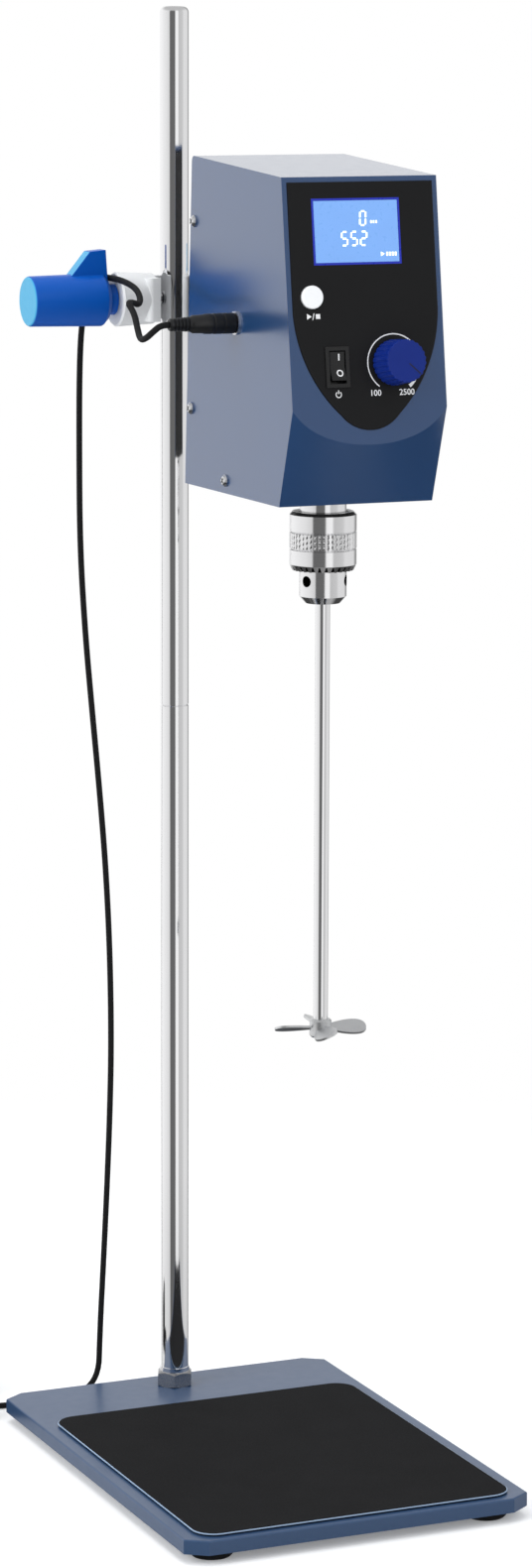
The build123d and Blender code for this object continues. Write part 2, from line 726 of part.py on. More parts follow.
# chassis: a floor and a back in one piece, with flanges that the side screws bite into
CHASSIS_HALF = HEAD_W / 2 - HEAD_WALL - SEAT_GAP
CHASSIS_BACK_LOW = HEAD_BACK_BOTTOM_Y - CHASSIS_RECESS - CHASSIS_RECESS * BACK_SLOPE
CHASSIS_FLOOR_Z = HEAD_BOTTOM + CHASSIS_RECESS
CHASSIS_TOP_Z = HEAD_BACK_TOP_Z - HEAD_WALL - 1.0
CHASSIS_BACK_HIGH = CHASSIS_BACK_LOW - BACK_SLOPE * (CHASSIS_TOP_Z - CHASSIS_FLOOR_Z)
CHASSIS_FRONT_Y = HEAD_CHIN_Y + HEAD_WALL + SEAT_GAP + 0.6
BACK_AT_BAR = CHASSIS_BACK_LOW - BACK_SLOPE * (CLAMP_Z - CHASSIS_FLOOR_Z)
NUT_SEAT_Y = BACK_AT_BAR - CHASSIS_T + 1.5
with BuildPart() as head_chassis:
    with BuildSketch(Plane.YZ.offset(HEAD_X - CHASSIS_HALF)):
        with BuildLine():
            Polyline(
                (CHASSIS_FRONT_Y, CHASSIS_FLOOR_Z),
                (CHASSIS_BACK_LOW, CHASSIS_FLOOR_Z),
                (CHASSIS_BACK_HIGH, CHASSIS_TOP_Z),
                (CHASSIS_BACK_HIGH - CHASSIS_T, CHASSIS_TOP_Z),
                (CHASSIS_BACK_LOW - CHASSIS_T - BACK_SLOPE * CHASSIS_T, FLOOR_TOP),
                (CHASSIS_FRONT_Y, FLOOR_TOP),
                close=True,
            )
        make_face()
    extrude(amount=2 * CHASSIS_HALF)
    flange_high = CHASSIS_BACK_HIGH - FLANGE_L
    flange_low = CHASSIS_BACK_LOW - FLANGE_L
    for flange_x in (HEAD_X - CHASSIS_HALF, HEAD_X + CHASSIS_HALF - FLANGE_T):
        with BuildSketch(Plane.YZ.offset(flange_x)):
            with BuildLine():
                Polyline(
                    (CHASSIS_FRONT_Y, FLOOR_TOP),
                    (CHASSIS_BACK_LOW - 1, FLOOR_TOP),
                    (CHASSIS_BACK_HIGH - 1, CHASSIS_TOP_Z),
                    (flange_high, CHASSIS_TOP_Z),
                    (flange_low, CHASSIS_FLOOR_Z + FLANGE_L),
                    (CHASSIS_FRONT_Y, CHASSIS_FLOOR_Z + FLANGE_L),
                    close=True,
                )
            make_face()
        extrude(amount=FLANGE_T)
    with BuildSketch(Plane.XZ.offset(-BAR_BOSS_Y)):
        with Locations((HEAD_X, CLAMP_Z)):
            Circle(BAR_BOSS_D / 2)
    extrude(amount=BAR_BOSS_Y - BACK_AT_BAR + 1)
    with BuildSketch(Plane.XZ.offset(-BAR_BOSS_Y)):
        with Locations((HEAD_X, CLAMP_Z)):
            Circle(BAR_STUD_D / 2 + FIT_GAP)
    extrude(amount=BAR_BOSS_Y - BACK_AT_BAR + 2 * CHASSIS_T, mode=Mode.SUBTRACT)
    # flat seat for the bar's lock nut inside, and the spindle's way through the floor
    with BuildSketch(Plane.XZ.offset(-NUT_SEAT_Y)):
        with Locations((HEAD_X, CLAMP_Z)):
            Circle(BAR_NUT_AF / 2 + 3)
    extrude(amount=CHASSIS_T, mode=Mode.SUBTRACT)
    with BuildSketch(Plane.XY.offset(CHASSIS_FLOOR_Z)):
        with Locations((HEAD_X, SPINDLE_Y)):
            Circle(SPINDLE_R + 2)
    extrude(amount=CHASSIS_T, mode=Mode.SUBTRACT)
    with BuildSketch(Plane.YZ.offset(HEAD_LEFT)):
        with Locations(*SIDE_SCREWS):
            Circle(SIDE_SCREW_D / 2 + FIT_GAP / 2)
    extrude(amount=HEAD_W, mode=Mode.SUBTRACT)
head_chassis.part.label = "head_chassis"
export_step(head_chassis.part, "parts/head_chassis.step")

with BuildPart() as side_screws:
    for way, face_x in ((1, HEAD_LEFT), (-1, HEAD_LEFT + HEAD_W)):
        for screw_y, screw_z in SIDE_SCREWS:
            screw_axis = Plane(origin=(face_x, screw_y, screw_z), x_dir=(0, 0, 1), z_dir=(0, way, 0))
            turned(
                screw_axis,
                [
                    (0, -SIDE_SCREW_HEAD_H),
                    (SIDE_SCREW_HEAD_D / 2 - 1.2, -SIDE_SCREW_HEAD_H),
                    (SIDE_SCREW_HEAD_D / 2, -0.8),
                    (SIDE_SCREW_HEAD_D / 2, 0),
                    (SIDE_SCREW_D / 2, 0),
                    (SIDE_SCREW_D / 2, SIDE_SCREW_L),
                    (0, SIDE_SCREW_L),
                ],
            )
side_screws.part.label = "side_screws"
export_step(side_screws.part, "parts/side_screws.step")

with BuildPart() as mounting_bar:
    bar_axis = Plane(origin=(HEAD_X, 0, CLAMP_Z), x_dir=(1, 0, 0), z_dir=(0, 0, 1))
    turned(
        bar_axis,
        [
            (0, NUT_SEAT_Y - BAR_NUT_H - 2),
            (BAR_STUD_D / 2, NUT_SEAT_Y - BAR_NUT_H - 2),
            (BAR_STUD_D / 2, BAR_BOSS_Y),
            (BAR_R, BAR_BOSS_Y),
            (BAR_R, BAR_END_Y - 1),
            (BAR_R - 1, BAR_END_Y),
            (0, BAR_END_Y),
        ],
    )
mounting_bar.part.label = "mounting_bar"
export_step(mounting_bar.part, "parts/mounting_bar.step")

with BuildPart() as bar_lock_nut:
    with BuildSketch(Plane.XZ.offset(-NUT_SEAT_Y)):
        with Locations((HEAD_X, CLAMP_Z)):
            RegularPolygon(BAR_NUT_AF / 2, 6, major_radius=False)
            Circle(BAR_STUD_D / 2 + FIT_GAP, mode=Mode.SUBTRACT)
    extrude(amount=BAR_NUT_H)
bar_lock_nut.part.label = "bar_lock_nut"
export_step(bar_lock_nut.part, "parts/bar_lock_nut.step")

# ---------------------------------------------------------------- controls on the front
PLUG_DEPTH = -POCKET - PANEL_PLUG_T       # inner face of the panel, over the front plane
SWITCH_BODY_W = SWITCH_W - 2 * SWITCH_RIM
SWITCH_BODY_H = SWITCH_H - 2 * SWITCH_RIM
with BuildPart() as control_panel:
    extrude(panel_outline(SEAT_GAP), amount=PANEL_PROUD)
    extrude(panel_outline(SEAT_GAP), amount=-POCKET)
    extrude(panel_outline(PANEL_LIP + SEAT_GAP), amount=PLUG_DEPTH)
    front_box(WINDOW_AT, WINDOW_W, WINDOW_H, PLUG_DEPTH, PANEL_PROUD, Mode.SUBTRACT)
    front_box(SWITCH_AT, SWITCH_BODY_W + 2 * FIT_GAP, SWITCH_BODY_H + 2 * FIT_GAP,
              PLUG_DEPTH, PANEL_PROUD, Mode.SUBTRACT)
    front_disc(BUTTON_AT, BUTTON_D + 2 * SLIDE_GAP, PLUG_DEPTH, PANEL_PROUD, Mode.SUBTRACT)
    front_disc(DIAL_AT, DIAL_HOLE_D, PLUG_DEPTH, PANEL_PROUD, Mode.SUBTRACT)
    # moulded posts behind the panel that carry the circuit board
    for post in BOARD_POSTS:
        front_disc(post, BOARD_POST_D, -BOARD_DEPTH, PLUG_DEPTH, Mode.ADD)
control_panel.part.label = "control_panel"
export_step(control_panel.part, "parts/control_panel.step")

WINDOW_BACK = PANEL_PROUD - WINDOW_T
with BuildPart() as display_window:
    front_box(WINDOW_AT, WINDOW_W - 2 * FIT_GAP, WINDOW_H - 2 * FIT_GAP, WINDOW_BACK, PANEL_PROUD, Mode.ADD)
display_window.part.label = "display_window"
export_step(display_window.part, "parts/display_window.step")

with BuildPart() as display_module:
    front_box(WINDOW_AT, WINDOW_W + 2 * MODULE_MARGIN, WINDOW_H + 2 * MODULE_MARGIN,
              PLUG_DEPTH - MODULE_T, PLUG_DEPTH, Mode.ADD)
    front_box(WINDOW_AT, WINDOW_W - 2 * FIT_GAP, WINDOW_H - 2 * FIT_GAP, PLUG_DEPTH, WINDOW_BACK, Mode.ADD)
display_module.part.label = "display_module"
export_step(display_module.part, "parts/display_module.step")

# button: a cap on a stem, pushed down onto its switch on the circuit board
STEM_END = -BOARD_DEPTH + BUTTON_TRAVEL + SLIDE_GAP
with BuildPart() as run_stop_button:
    front_disc(BUTTON_AT, BUTTON_D, PLUG_DEPTH + 1, BUTTON_PROUD, Mode.ADD)
    fillet(run_stop_button.edges().sort_by(lambda e: -FRONT.to_local_coords(e.center()).Z)[0], 0.8)
    front_disc(BUTTON_AT, BUTTON_STEM_D, STEM_END, PLUG_DEPTH + 1, Mode.ADD)
run_stop_button.part.label = "run_stop_button"
export_step(run_stop_button.part, "parts/run_stop_button.step")

ROCKER_W = SWITCH_BODY_W - 2 * SWITCH_RIM + 0.8
ROCKER_H = SWITCH_BODY_H - 2 * SWITCH_RIM + 0.8
SWITCH_BACK = PLUG_DEPTH - SWITCH_BODY_T + 3
ROCKER_FLOOR = -4.6       # bottom of the well that the rocker tips in
with BuildPart() as switch_housing:
    front_box(SWITCH_AT, SWITCH_W, SWITCH_H, PANEL_PROUD, SWITCH_PROUD, Mode.ADD)
    front_box(SWITCH_AT, SWITCH_BODY_W, SWITCH_BODY_H, SWITCH_BACK, PANEL_PROUD, Mode.ADD)
    front_box(SWITCH_AT, ROCKER_W + 2 * SLIDE_GAP, ROCKER_H + 2 * SLIDE_GAP,
              ROCKER_FLOOR, SWITCH_PROUD, Mode.SUBTRACT)
switch_housing.part.label = "switch_housing"
export_step(switch_housing.part, "parts/switch_housing.step")

# rocker: two faces that meet in a shallow valley, tipping about a pin at its middle
ROCKER_PIVOT = -1.6
ROCKER_RISE = 3.2         # how far the raised end stands over the front plane
ROCKER_LOW = 1.0
ROCKER_END_SET_IN = 1.1   # keeps the raised end clear of the well as it goes down
with BuildPart() as switch_rocker:
    rocker_side = Plane(
        origin=FRONT.from_local_coords((SWITCH_AT[0] - ROCKER_W / 2, SWITCH_AT[1], 0)),
        x_dir=FRONT.y_dir,
        z_dir=(1, 0, 0),
    )
    with BuildSketch(rocker_side):
        with BuildLine():
            rocker_tops = Polyline(
                (ROCKER_H / 2 - 0.6, ROCKER_PIVOT - 0.6),
                (ROCKER_H / 2, ROCKER_LOW),
                (0, ROCKER_LOW - 0.4),
                (ROCKER_END_SET_IN - ROCKER_H / 2, ROCKER_RISE),
                (-ROCKER_H / 2 + 0.6, ROCKER_PIVOT - 0.2),
            )
            ThreePointArc(rocker_tops @ 1, (0, ROCKER_PIVOT - 2.4), rocker_tops @ 0)
        make_face()
    extrude(amount=ROCKER_W)
switch_rocker.part.label = "switch_rocker"
export_step(switch_rocker.part, "parts/switch_rocker.step")

DIAL_BASE = PANEL_PROUD + SLIDE_GAP
with BuildPart() as speed_knob:
    with BuildSketch(FRONT.offset(DIAL_BASE)):
        with Locations(DIAL_AT):
            Circle(DIAL_D / 2)
            with PolarLocations(DIAL_D / 2 + DIAL_GRIP_R * 0.4, DIAL_GRIPS):
                Circle(DIAL_GRIP_R, mode=Mode.SUBTRACT)
    extrude(amount=DIAL_H, taper=3)
    fillet(speed_knob.faces().sort_by(lambda f: -FRONT.to_local_coords(f.center()).Z)[0].edges(), 0.3)
    front_disc(DIAL_AT, DIAL_SHAFT_D + FIT_GAP, DIAL_BASE, DIAL_BASE + DIAL_H - 3, Mode.SUBTRACT)
speed_knob.part.label = "speed_knob"
export_step(speed_knob.part, "parts/speed_knob.step")

with BuildPart() as speed_encoder:
    front_disc(DIAL_AT, ENCODER_D, PLUG_DEPTH - ENCODER_T, PLUG_DEPTH, Mode.ADD)
    front_disc(DIAL_AT, DIAL_SHAFT_D, PLUG_DEPTH, DIAL_BASE + DIAL_H - 4, Mode.ADD)
speed_encoder.part.label = "speed_encoder"
export_step(speed_encoder.part, "parts/speed_encoder.step")

with BuildPart() as control_board:
    front_box((0, PANEL_TOP / 2 + 6), BOARD_W, BOARD_H, -BOARD_DEPTH - BOARD_T, -BOARD_DEPTH, Mode.ADD)
control_board.part.label = "control_board"
export_step(control_board.part, "parts/control_board.step")

# ---------------------------------------------------------------- supply socket and plug
# The plane's x points up, its y out of the left side of the head.
JACK_AXIS = Plane(origin=(HEAD_LEFT, JACK_Y, JACK_Z), x_dir=(0, 0, 1), z_dir=(0, -1, 0))
with BuildPart() as dc_jack:
    turned(
        JACK_AXIS,
        [
            (PLUG_PIN_D / 2 + FIT_GAP, JACK_RIM_T),
            (JACK_RIM_D / 2, JACK_RIM_T),
            (JACK_RIM_D / 2, 0),
            (JACK_D / 2, 0),
            (JACK_D / 2, -JACK_L),
            (0, -JACK_L),
            (0, 0.5 - JACK_L),
            (PLUG_PIN_D / 2 + FIT_GAP, 0.5 - JACK_L),
        ],
    )
dc_jack.part.label = "dc_jack"
export_step(dc_jack.part, "parts/dc_jack.step")

RELIEF_START = JACK_RIM_T + PLUG_L
CORD_EXIT = RELIEF_START + RELIEF_L
with BuildPart() as dc_plug:
    turned(
        JACK_AXIS,
        [
            (0, JACK_RIM_T - PLUG_PIN_L),
            (PLUG_PIN_D / 2, JACK_RIM_T - PLUG_PIN_L),
            (PLUG_PIN_D / 2, JACK_RIM_T),
            (PLUG_D / 2, JACK_RIM_T),
            (PLUG_D / 2, RELIEF_START - 5),
            (RELIEF_D / 2, RELIEF_START),
            (RELIEF_END_D / 2, CORD_EXIT),
            (0, CORD_EXIT),
        ],
    )
dc_plug.part.label = "dc_plug"
export_step(dc_plug.part, "parts/dc_plug.step")

# ---------------------------------------------------------------- drive
DRIVE_AXIS = upright(HEAD_X, SPINDLE_Y)
with BuildPart() as bearing_housing:
    turned(
        DRIVE_AXIS,
        [
            (SPINDLE_R + 2, FLOOR_TOP),
            (HOUSING_FLANGE_D / 2, FLOOR_TOP),
            (HOUSING_FLANGE_D / 2, FLOOR_TOP + HOUSING_FLANGE_T),
            (HOUSING_D / 2, FLOOR_TOP + HOUSING_FLANGE_T),
            (HOUSING_D / 2, HOUSING_TOP),
            (BEARING_OD / 2, HOUSING_TOP),
            (BEARING_OD / 2, HOUSING_TOP - BEARING_H),
            (BEARING_OD / 2 - 2, HOUSING_TOP - BEARING_H),
            (BEARING_OD / 2 - 2, FLOOR_TOP + HOUSING_LIP + BEARING_H),
            (BEARING_OD / 2, FLOOR_TOP + HOUSING_LIP + BEARING_H),
            (BEARING_OD / 2, FLOOR_TOP + HOUSING_LIP),
            (SPINDLE_R + 2, FLOOR_TOP + HOUSING_LIP),
        ],
    )
bearing_housing.part.label = "bearing_housing"
export_step(bearing_housing.part, "parts/bearing_housing.step")


def bearing(low):
    """Shielded ball bearing as one closed ring, with the shields set back."""
    inner = SPINDLE_R + SOCKET_GAP
    outer = BEARING_OD / 2
    shield = 0.6
    with BuildPart() as race:
        turned(
            DRIVE_AXIS,
            [
                (inner, low),
                (inner + 2, low),
                (inner + 2, low + shield),
                (outer - 2, low + shield),
                (outer - 2, low),
                (outer, low),
                (outer, low + BEARING_H),
                (outer - 2, low + BEARING_H),
                (outer - 2, low + BEARING_H - shield),
                (inner + 2, low + BEARING_H - shield),
                (inner + 2, low + BEARING_H),
                (inner, low + BEARING_H),
            ],
        )
    return race.part


lower_bearing = bearing(FLOOR_TOP + HOUSING_LIP)
lower_bearing.label = "lower_bearing"
export_step(lower_bearing, "parts/lower_bearing.step")

upper_bearing = bearing(HOUSING_TOP - BEARING_H)
upper_bearing.label = "upper_bearing"
export_step(upper_bearing, "parts/upper_bearing.step")

SPINDLE_SOCKET = CHUCK_TOP - 13.0     # the spindle's lower end, inside the chuck
with BuildPart() as spindle:
    turned(
        DRIVE_AXIS,
        [
            (0, SPINDLE_SOCKET),
            (SPINDLE_R, SPINDLE_SOCKET),
            (SPINDLE_R, CHUCK_TOP),
            (SPINDLE_COLLAR_D / 2, CHUCK_TOP),
            (SPINDLE_COLLAR_D / 2, CHUCK_TOP + SPINDLE_COLLAR_H),
            (SPINDLE_R + 1.5, CHUCK_TOP + SPINDLE_COLLAR_H),
            (SPINDLE_R + 1.5, FLOOR_TOP + HOUSING_LIP),
            (SPINDLE_R, FLOOR_TOP + HOUSING_LIP),
            (SPINDLE_R, SPINDLE_TOP),
            (0, SPINDLE_TOP),
        ],
    )
spindle.part.label = "spindle"
export_step(spindle.part, "parts/spindle.step")

COUPLER_TOP = COUPLER_BOTTOM + COUPLER_H
with BuildPart() as shaft_coupler:
    turned(
        DRIVE_AXIS,
        [
            (SPINDLE_R, COUPLER_BOTTOM),
            (COUPLER_D / 2, COUPLER_BOTTOM),
            (COUPLER_D / 2, COUPLER_TOP),
            (MOTOR_SHAFT_D / 2, COUPLER_TOP),
            (MOTOR_SHAFT_D / 2, SPINDLE_TOP + 0.5),
            (SPINDLE_R, SPINDLE_TOP + 0.5),
        ],
    )
    # clamping slits, one at each end
    for slit_z in (COUPLER_BOTTOM + COUPLER_H / 4, COUPLER_TOP - COUPLER_H / 4):
        with BuildSketch(Plane.XY.offset(slit_z - 0.5)):
            with Locations((HEAD_X + COUPLER_D / 2, SPINDLE_Y)):
                Rectangle(COUPLER_D / 2, COUPLER_D)
        extrude(amount=1.0, mode=Mode.SUBTRACT)
shaft_coupler.part.label = "shaft_coupler"
export_step(shaft_coupler.part, "parts/shaft_coupler.step")

MOTOR_SOCKET = MOTOR_Z + 20.0
with BuildPart() as motor_shaft:
    turned(DRIVE_AXIS, rod(MOTOR_SHAFT_D / 2, SPINDLE_TOP + 1.0, MOTOR_SOCKET))
motor_shaft.part.label = "motor_shaft"
export_step(motor_shaft.part, "parts/motor_shaft.step")

with BuildPart() as motor_can:
    turned(
        DRIVE_AXIS,
        [
            (MOTOR_SHAFT_D / 2 + SOCKET_GAP, MOTOR_Z - MOTOR_BOSS_H),
            (MOTOR_BOSS_D / 2, MOTOR_Z - MOTOR_BOSS_H),
            (MOTOR_BOSS_D / 2, MOTOR_Z),
            (MOTOR_D / 2 - 1, MOTOR_Z),
            (MOTOR_D / 2, MOTOR_Z + 1),
            (MOTOR_D / 2, MOTOR_Z + MOTOR_H - 2),
            (MOTOR_D / 2 - 2, MOTOR_Z + MOTOR_H),
            (0, MOTOR_Z + MOTOR_H),
            (0, MOTOR_SOCKET + 0.5),
            (MOTOR_SHAFT_D / 2 + SOCKET_GAP, MOTOR_SOCKET + 0.5),
        ],
    )
motor_can.part.label = "motor_can"
export_step(motor_can.part, "parts/motor_can.step")

with BuildPart() as motor_mount_plate:
    with BuildSketch(Plane.XY.offset(MOUNT_Z)):
        with Locations((HEAD_X, SPINDLE_Y)):
            RectangleRounded(MOUNT_W, MOUNT_W, 5)
            Circle(MOTOR_BOSS_D / 2 + FIT_GAP, mode=Mode.SUBTRACT)
    extrude(amount=MOUNT_T)
motor_mount_plate.part.label = "motor_mount_plate"
export_step(motor_mount_plate.part, "parts/motor_mount_plate.step")

with BuildPart() as motor_mount_posts:
    with BuildSketch(Plane.XY.offset(FLOOR_TOP)):
        with Locations((HEAD_X, SPINDLE_Y)):
            with GridLocations(POST_SPAN, POST_SPAN, 2, 2):
                Circle(POST_D / 2)
    extrude(amount=POST_H)
motor_mount_posts.part.label = "motor_mount_posts"
export_step(motor_mount_posts.part, "parts/motor_mount_posts.step")

# ---------------------------------------------------------------- keyed chuck
# Three jaws slide in tilted bores of the body. The nut inside the sleeve drives them:
# turning the sleeve by its toothed rim feeds the jaws along their bores.


def jaw_axis(angle):
    """Plane square to a jaw's bore, its origin on the bore's axis at the chuck's tip,
    its x pointing out from the spindle's axis and its z up along the bore."""
    turn = radians(angle)
    tilt = radians(JAW_TILT)
    return Plane(
        origin=(HEAD_X + JAW_TIP_R * cos(turn), SPINDLE_Y + JAW_TIP_R * sin(turn), CHUCK_BOTTOM),
        x_dir=(cos(turn) * cos(tilt), sin(turn) * cos(tilt), -sin(tilt)),
        z_dir=(cos(turn) * sin(tilt), sin(turn) * sin(tilt), cos(tilt)),
    )


NUT_TOP = NUT_BOTTOM + NUT_H
with BuildPart() as chuck_body:
    core_r = CORE_D / 2
    nose_r = CHUCK_NOSE_D / 2
    turned(
        DRIVE_AXIS,
        [
            (SHAFT_R + 0.3, CHUCK_BOTTOM),
            (CHUCK_TIP_D / 2, CHUCK_BOTTOM),
            (nose_r, CHUCK_BOTTOM + CHUCK_TIP_H),
            (nose_r, NUT_BOTTOM - SLIDE_GAP),
            (core_r, NUT_BOTTOM - SLIDE_GAP),
            (core_r, NUT_TOP + SLIDE_GAP),
            (nose_r, NUT_TOP + SLIDE_GAP),
            (nose_r, CHUCK_TOP),
            (SPINDLE_R, CHUCK_TOP),
            (SPINDLE_R, SPINDLE_SOCKET),
            (SHAFT_R + 0.3, SPINDLE_SOCKET),
        ],
    )
    for angle in JAW_ANGLES:
        with BuildSketch(jaw_axis(angle).offset(-10)):
            Circle(JAW_D / 2 + FIT_GAP)
        extrude(amount=10 + JAW_L + 5, mode=Mode.SUBTRACT)
    for turn in range(3):
        key_turn = radians(KEY_HOLE_TURN + 120 * turn)
        key_plane = Plane(
            origin=(HEAD_X + nose_r * cos(key_turn), SPINDLE_Y + nose_r * sin(key_turn), KEY_HOLE_Z),
            x_dir=(0, 0, 1),
            z_dir=(-cos(key_turn), -sin(key_turn), 0),
        )
        with BuildSketch(key_plane.offset(-2)):
            Circle(KEY_HOLE_D / 2)
        extrude(amount=2 + KEY_HOLE_DEPTH, mode=Mode.SUBTRACT)
chuck_body.part.label = "chuck_body"
export_step(chuck_body.part, "parts/chuck_body.step")

for number, angle in enumerate(JAW_ANGLES, start=1):
    with BuildPart() as chuck_jaw:
        with BuildSketch(jaw_axis(angle)):
            Circle(JAW_D / 2)
        extrude(amount=JAW_L)
        # flush at the tip, hollowed to grip the shaft
        turned(DRIVE_AXIS, rod(SLEEVE_D, CHUCK_BOTTOM - 10, CHUCK_BOTTOM), mode=Mode.SUBTRACT)
        turned(
            DRIVE_AXIS,
            rod(SHAFT_R + JAW_GRIP_GAP, CHUCK_BOTTOM - 10, CHUCK_BOTTOM + JAW_L),
            mode=Mode.SUBTRACT,
        )
    chuck_jaw.part.label = f"chuck_jaw_{number}"
    export_step(chuck_jaw.part, f"parts/chuck_jaw_{number}.step")


def jaw_back(z):
    """Radius that a jaw's back reaches at height z, with room to slide."""
    reach = JAW_TIP_R + (z - CHUCK_BOTTOM) * JAW_SLOPE
    return reach + JAW_D / 2 / cos(radians(JAW_TILT)) + SEAT_GAP


with BuildPart() as chuck_nut:
    turned(
        DRIVE_AXIS,
        [
            (jaw_back(NUT_BOTTOM), NUT_BOTTOM),
            (SLEEVE_IN_R, NUT_BOTTOM),
            (SLEEVE_IN_R, NUT_TOP),
            (jaw_back(NUT_TOP), NUT_TOP),
        ],
    )
chuck_nut.part.label = "chuck_nut"
export_step(chuck_nut.part, "parts/chuck_nut.step")

SLEEVE_R = SLEEVE_D / 2
with BuildPart() as chuck_sleeve:
    mouth_r = CHUCK_NOSE_D / 2 + SLIDE_GAP
    turned(
        DRIVE_AXIS,
        [
            (mouth_r, SLEEVE_BOTTOM),
            (SLEEVE_R - SLEEVE_BEVEL, SLEEVE_BOTTOM),
            (SLEEVE_R, SLEEVE_BOTTOM + 2 * SLEEVE_BEVEL),
            (SLEEVE_R, KNURL_BOTTOM - BAND_GROOVE),
            (SLEEVE_R - BAND_GROOVE, KNURL_BOTTOM),
            (SLEEVE_R, KNURL_BOTTOM + BAND_GROOVE),
            (SLEEVE_R, KNURL_TOP - BAND_GROOVE),
            (SLEEVE_R - BAND_GROOVE, KNURL_TOP),
            (SLEEVE_R, KNURL_TOP + BAND_GROOVE),
            (SLEEVE_R, SLEEVE_TOP - SLEEVE_BEVEL),
            (SLEEVE_R - SLEEVE_BEVEL, SLEEVE_TOP),
            (mouth_r, SLEEVE_TOP),
            (mouth_r, SLEEVE_TOP - SLEEVE_ROOF),
            (SLEEVE_IN_R, SLEEVE_TOP - SLEEVE_ROOF),
            (SLEEVE_IN_R, NUT_BOTTOM),
            (mouth_r, NUT_BOTTOM),
        ],
    )
    # crown teeth that the chuck key turns
    tooth_pitch = 2 * pi * SLEEVE_R / TOOTH_COUNT
    for tooth in range(TOOTH_COUNT):
        way = radians(360 / TOOTH_COUNT * tooth)
        tooth_gap = Plane(
            origin=(HEAD_X + 14.5 * cos(way), SPINDLE_Y + 14.5 * sin(way), SLEEVE_BOTTOM),
            x_dir=(-sin(way), cos(way), 0),
            z_dir=(cos(way), sin(way), 0),
        )
        with BuildSketch(tooth_gap):
            with BuildLine():
                Polyline(
                    (-0.36 * tooth_pitch, -1),
                    (0.36 * tooth_pitch, -1),
                    (0.1 * tooth_pitch, TOOTH_H - 0.4),
                    (-0.1 * tooth_pitch, TOOTH_H - 0.4),
                    close=True,
                )
            make_face()
        extrude(amount=SLEEVE_R, mode=Mode.SUBTRACT)
    # straight knurl round the grip band
    with BuildSketch(Plane.XY.offset(KNURL_BOTTOM + BAND_GROOVE)):
        with Locations((HEAD_X, SPINDLE_Y)):
            with PolarLocations(SLEEVE_R, KNURL_COUNT):
                Rectangle(2 * KNURL_DEPTH, 2 * KNURL_DEPTH, rotation=45)
    extrude(amount=KNURL_TOP - KNURL_BOTTOM - 2 * BAND_GROOVE, mode=Mode.SUBTRACT)
chuck_sleeve.part.label = "chuck_sleeve"
export_step(chuck_sleeve.part, "parts/chuck_sleeve.step")

# ---------------------------------------------------------------- stirrer
with BuildPart() as stirrer_shaft:
    turned(DRIVE_AXIS, rod(SHAFT_R, SHAFT_BOTTOM, SHAFT_TOP))
    chamfer(stirrer_shaft.edges().group_by(Axis.Z)[-1], 0.6)
stirrer_shaft.part.label = "stirrer_shaft"
export_step(stirrer_shaft.part, "parts/stirrer_shaft.step")

with BuildPart() as stirrer_propeller:
    turned(
        DRIVE_AXIS,
        [
            (SHAFT_R + SOCKET_GAP, HUB_Z - HUB_H / 2),
            (HUB_D / 2 - 1, HUB_Z - HUB_H / 2),
            (HUB_D / 2, HUB_Z - HUB_H / 2 + 1),
            (HUB_D / 2, HUB_Z + HUB_H / 2 - 1),
            (HUB_D / 2 - 1, HUB_Z + HUB_H / 2),
            (SHAFT_R + SOCKET_GAP, HUB_Z + HUB_H / 2),
        ],
    )
    for blade in range(BLADE_COUNT):
        way = radians(BLADE_TURN + 360 / BLADE_COUNT * blade)
        pitch = radians(BLADE_PITCH)
        blade_face = Plane(
            origin=(HEAD_X, SPINDLE_Y, HUB_Z),
            x_dir=(cos(way), sin(way), 0),
            z_dir=(sin(way) * sin(pitch), -cos(way) * sin(pitch), cos(pitch)),
        )
        with BuildSketch(blade_face.offset(-BLADE_T / 2)) as blade_shape:
            with BuildLine():
                lead = Spline(
                    (HUB_D / 2 - 1, BLADE_ROOT_W / 2),
                    (PROP_R * 0.62, BLADE_W / 2),
                    (PROP_R, 0),
                    tangents=[(1, 0.35), (0, -1)],
                )
                Spline(
                    lead @ 1,
                    (PROP_R * 0.62, -BLADE_W / 2),
                    (HUB_D / 2 - 1, -BLADE_ROOT_W / 2),
                    tangents=[(0, -1), (-1, 0.35)],
                )
                Line((HUB_D / 2 - 1, -BLADE_ROOT_W / 2), (HUB_D / 2 - 1, BLADE_ROOT_W / 2))
            make_face()
        extrude(blade_shape.sketch, amount=BLADE_T)
stirrer_propeller.part.label = "stirrer_propeller"
export_step(stirrer_propeller.part, "parts/stirrer_propeller.step")

# ---------------------------------------------------------------- supply cord
FLOOR_LIE = CORD_D / 2
# from the plug, looping back to the clamp and over the neck of its knob
lead_route = [
    (HEAD_LEFT - CORD_EXIT, JACK_Y, JACK_Z),
    (-64.8, JACK_Y, JACK_Z),
    (-67.6, -13.0, 632.6),
    (-68.0, -4.0, 628.4),
    (-66.5, 8.0, 626.5),
    (-62.5, 22.0, 631.5),
    (-59.0, 35.0, 638.6),
    (-58.6, 45.5, 643.6),
    (-53.0, 52.5, 643.2),
    (-46.5, 59.5, 641.2),
    (-41.6, 69.0, 644.0),
    (-38.9, 82.0, 648.4),
    (-38.9, 97.0, 651.0),
    (-39.0, 113.0, 652.0),
    (-39.0, 128.0, 652.0),
]
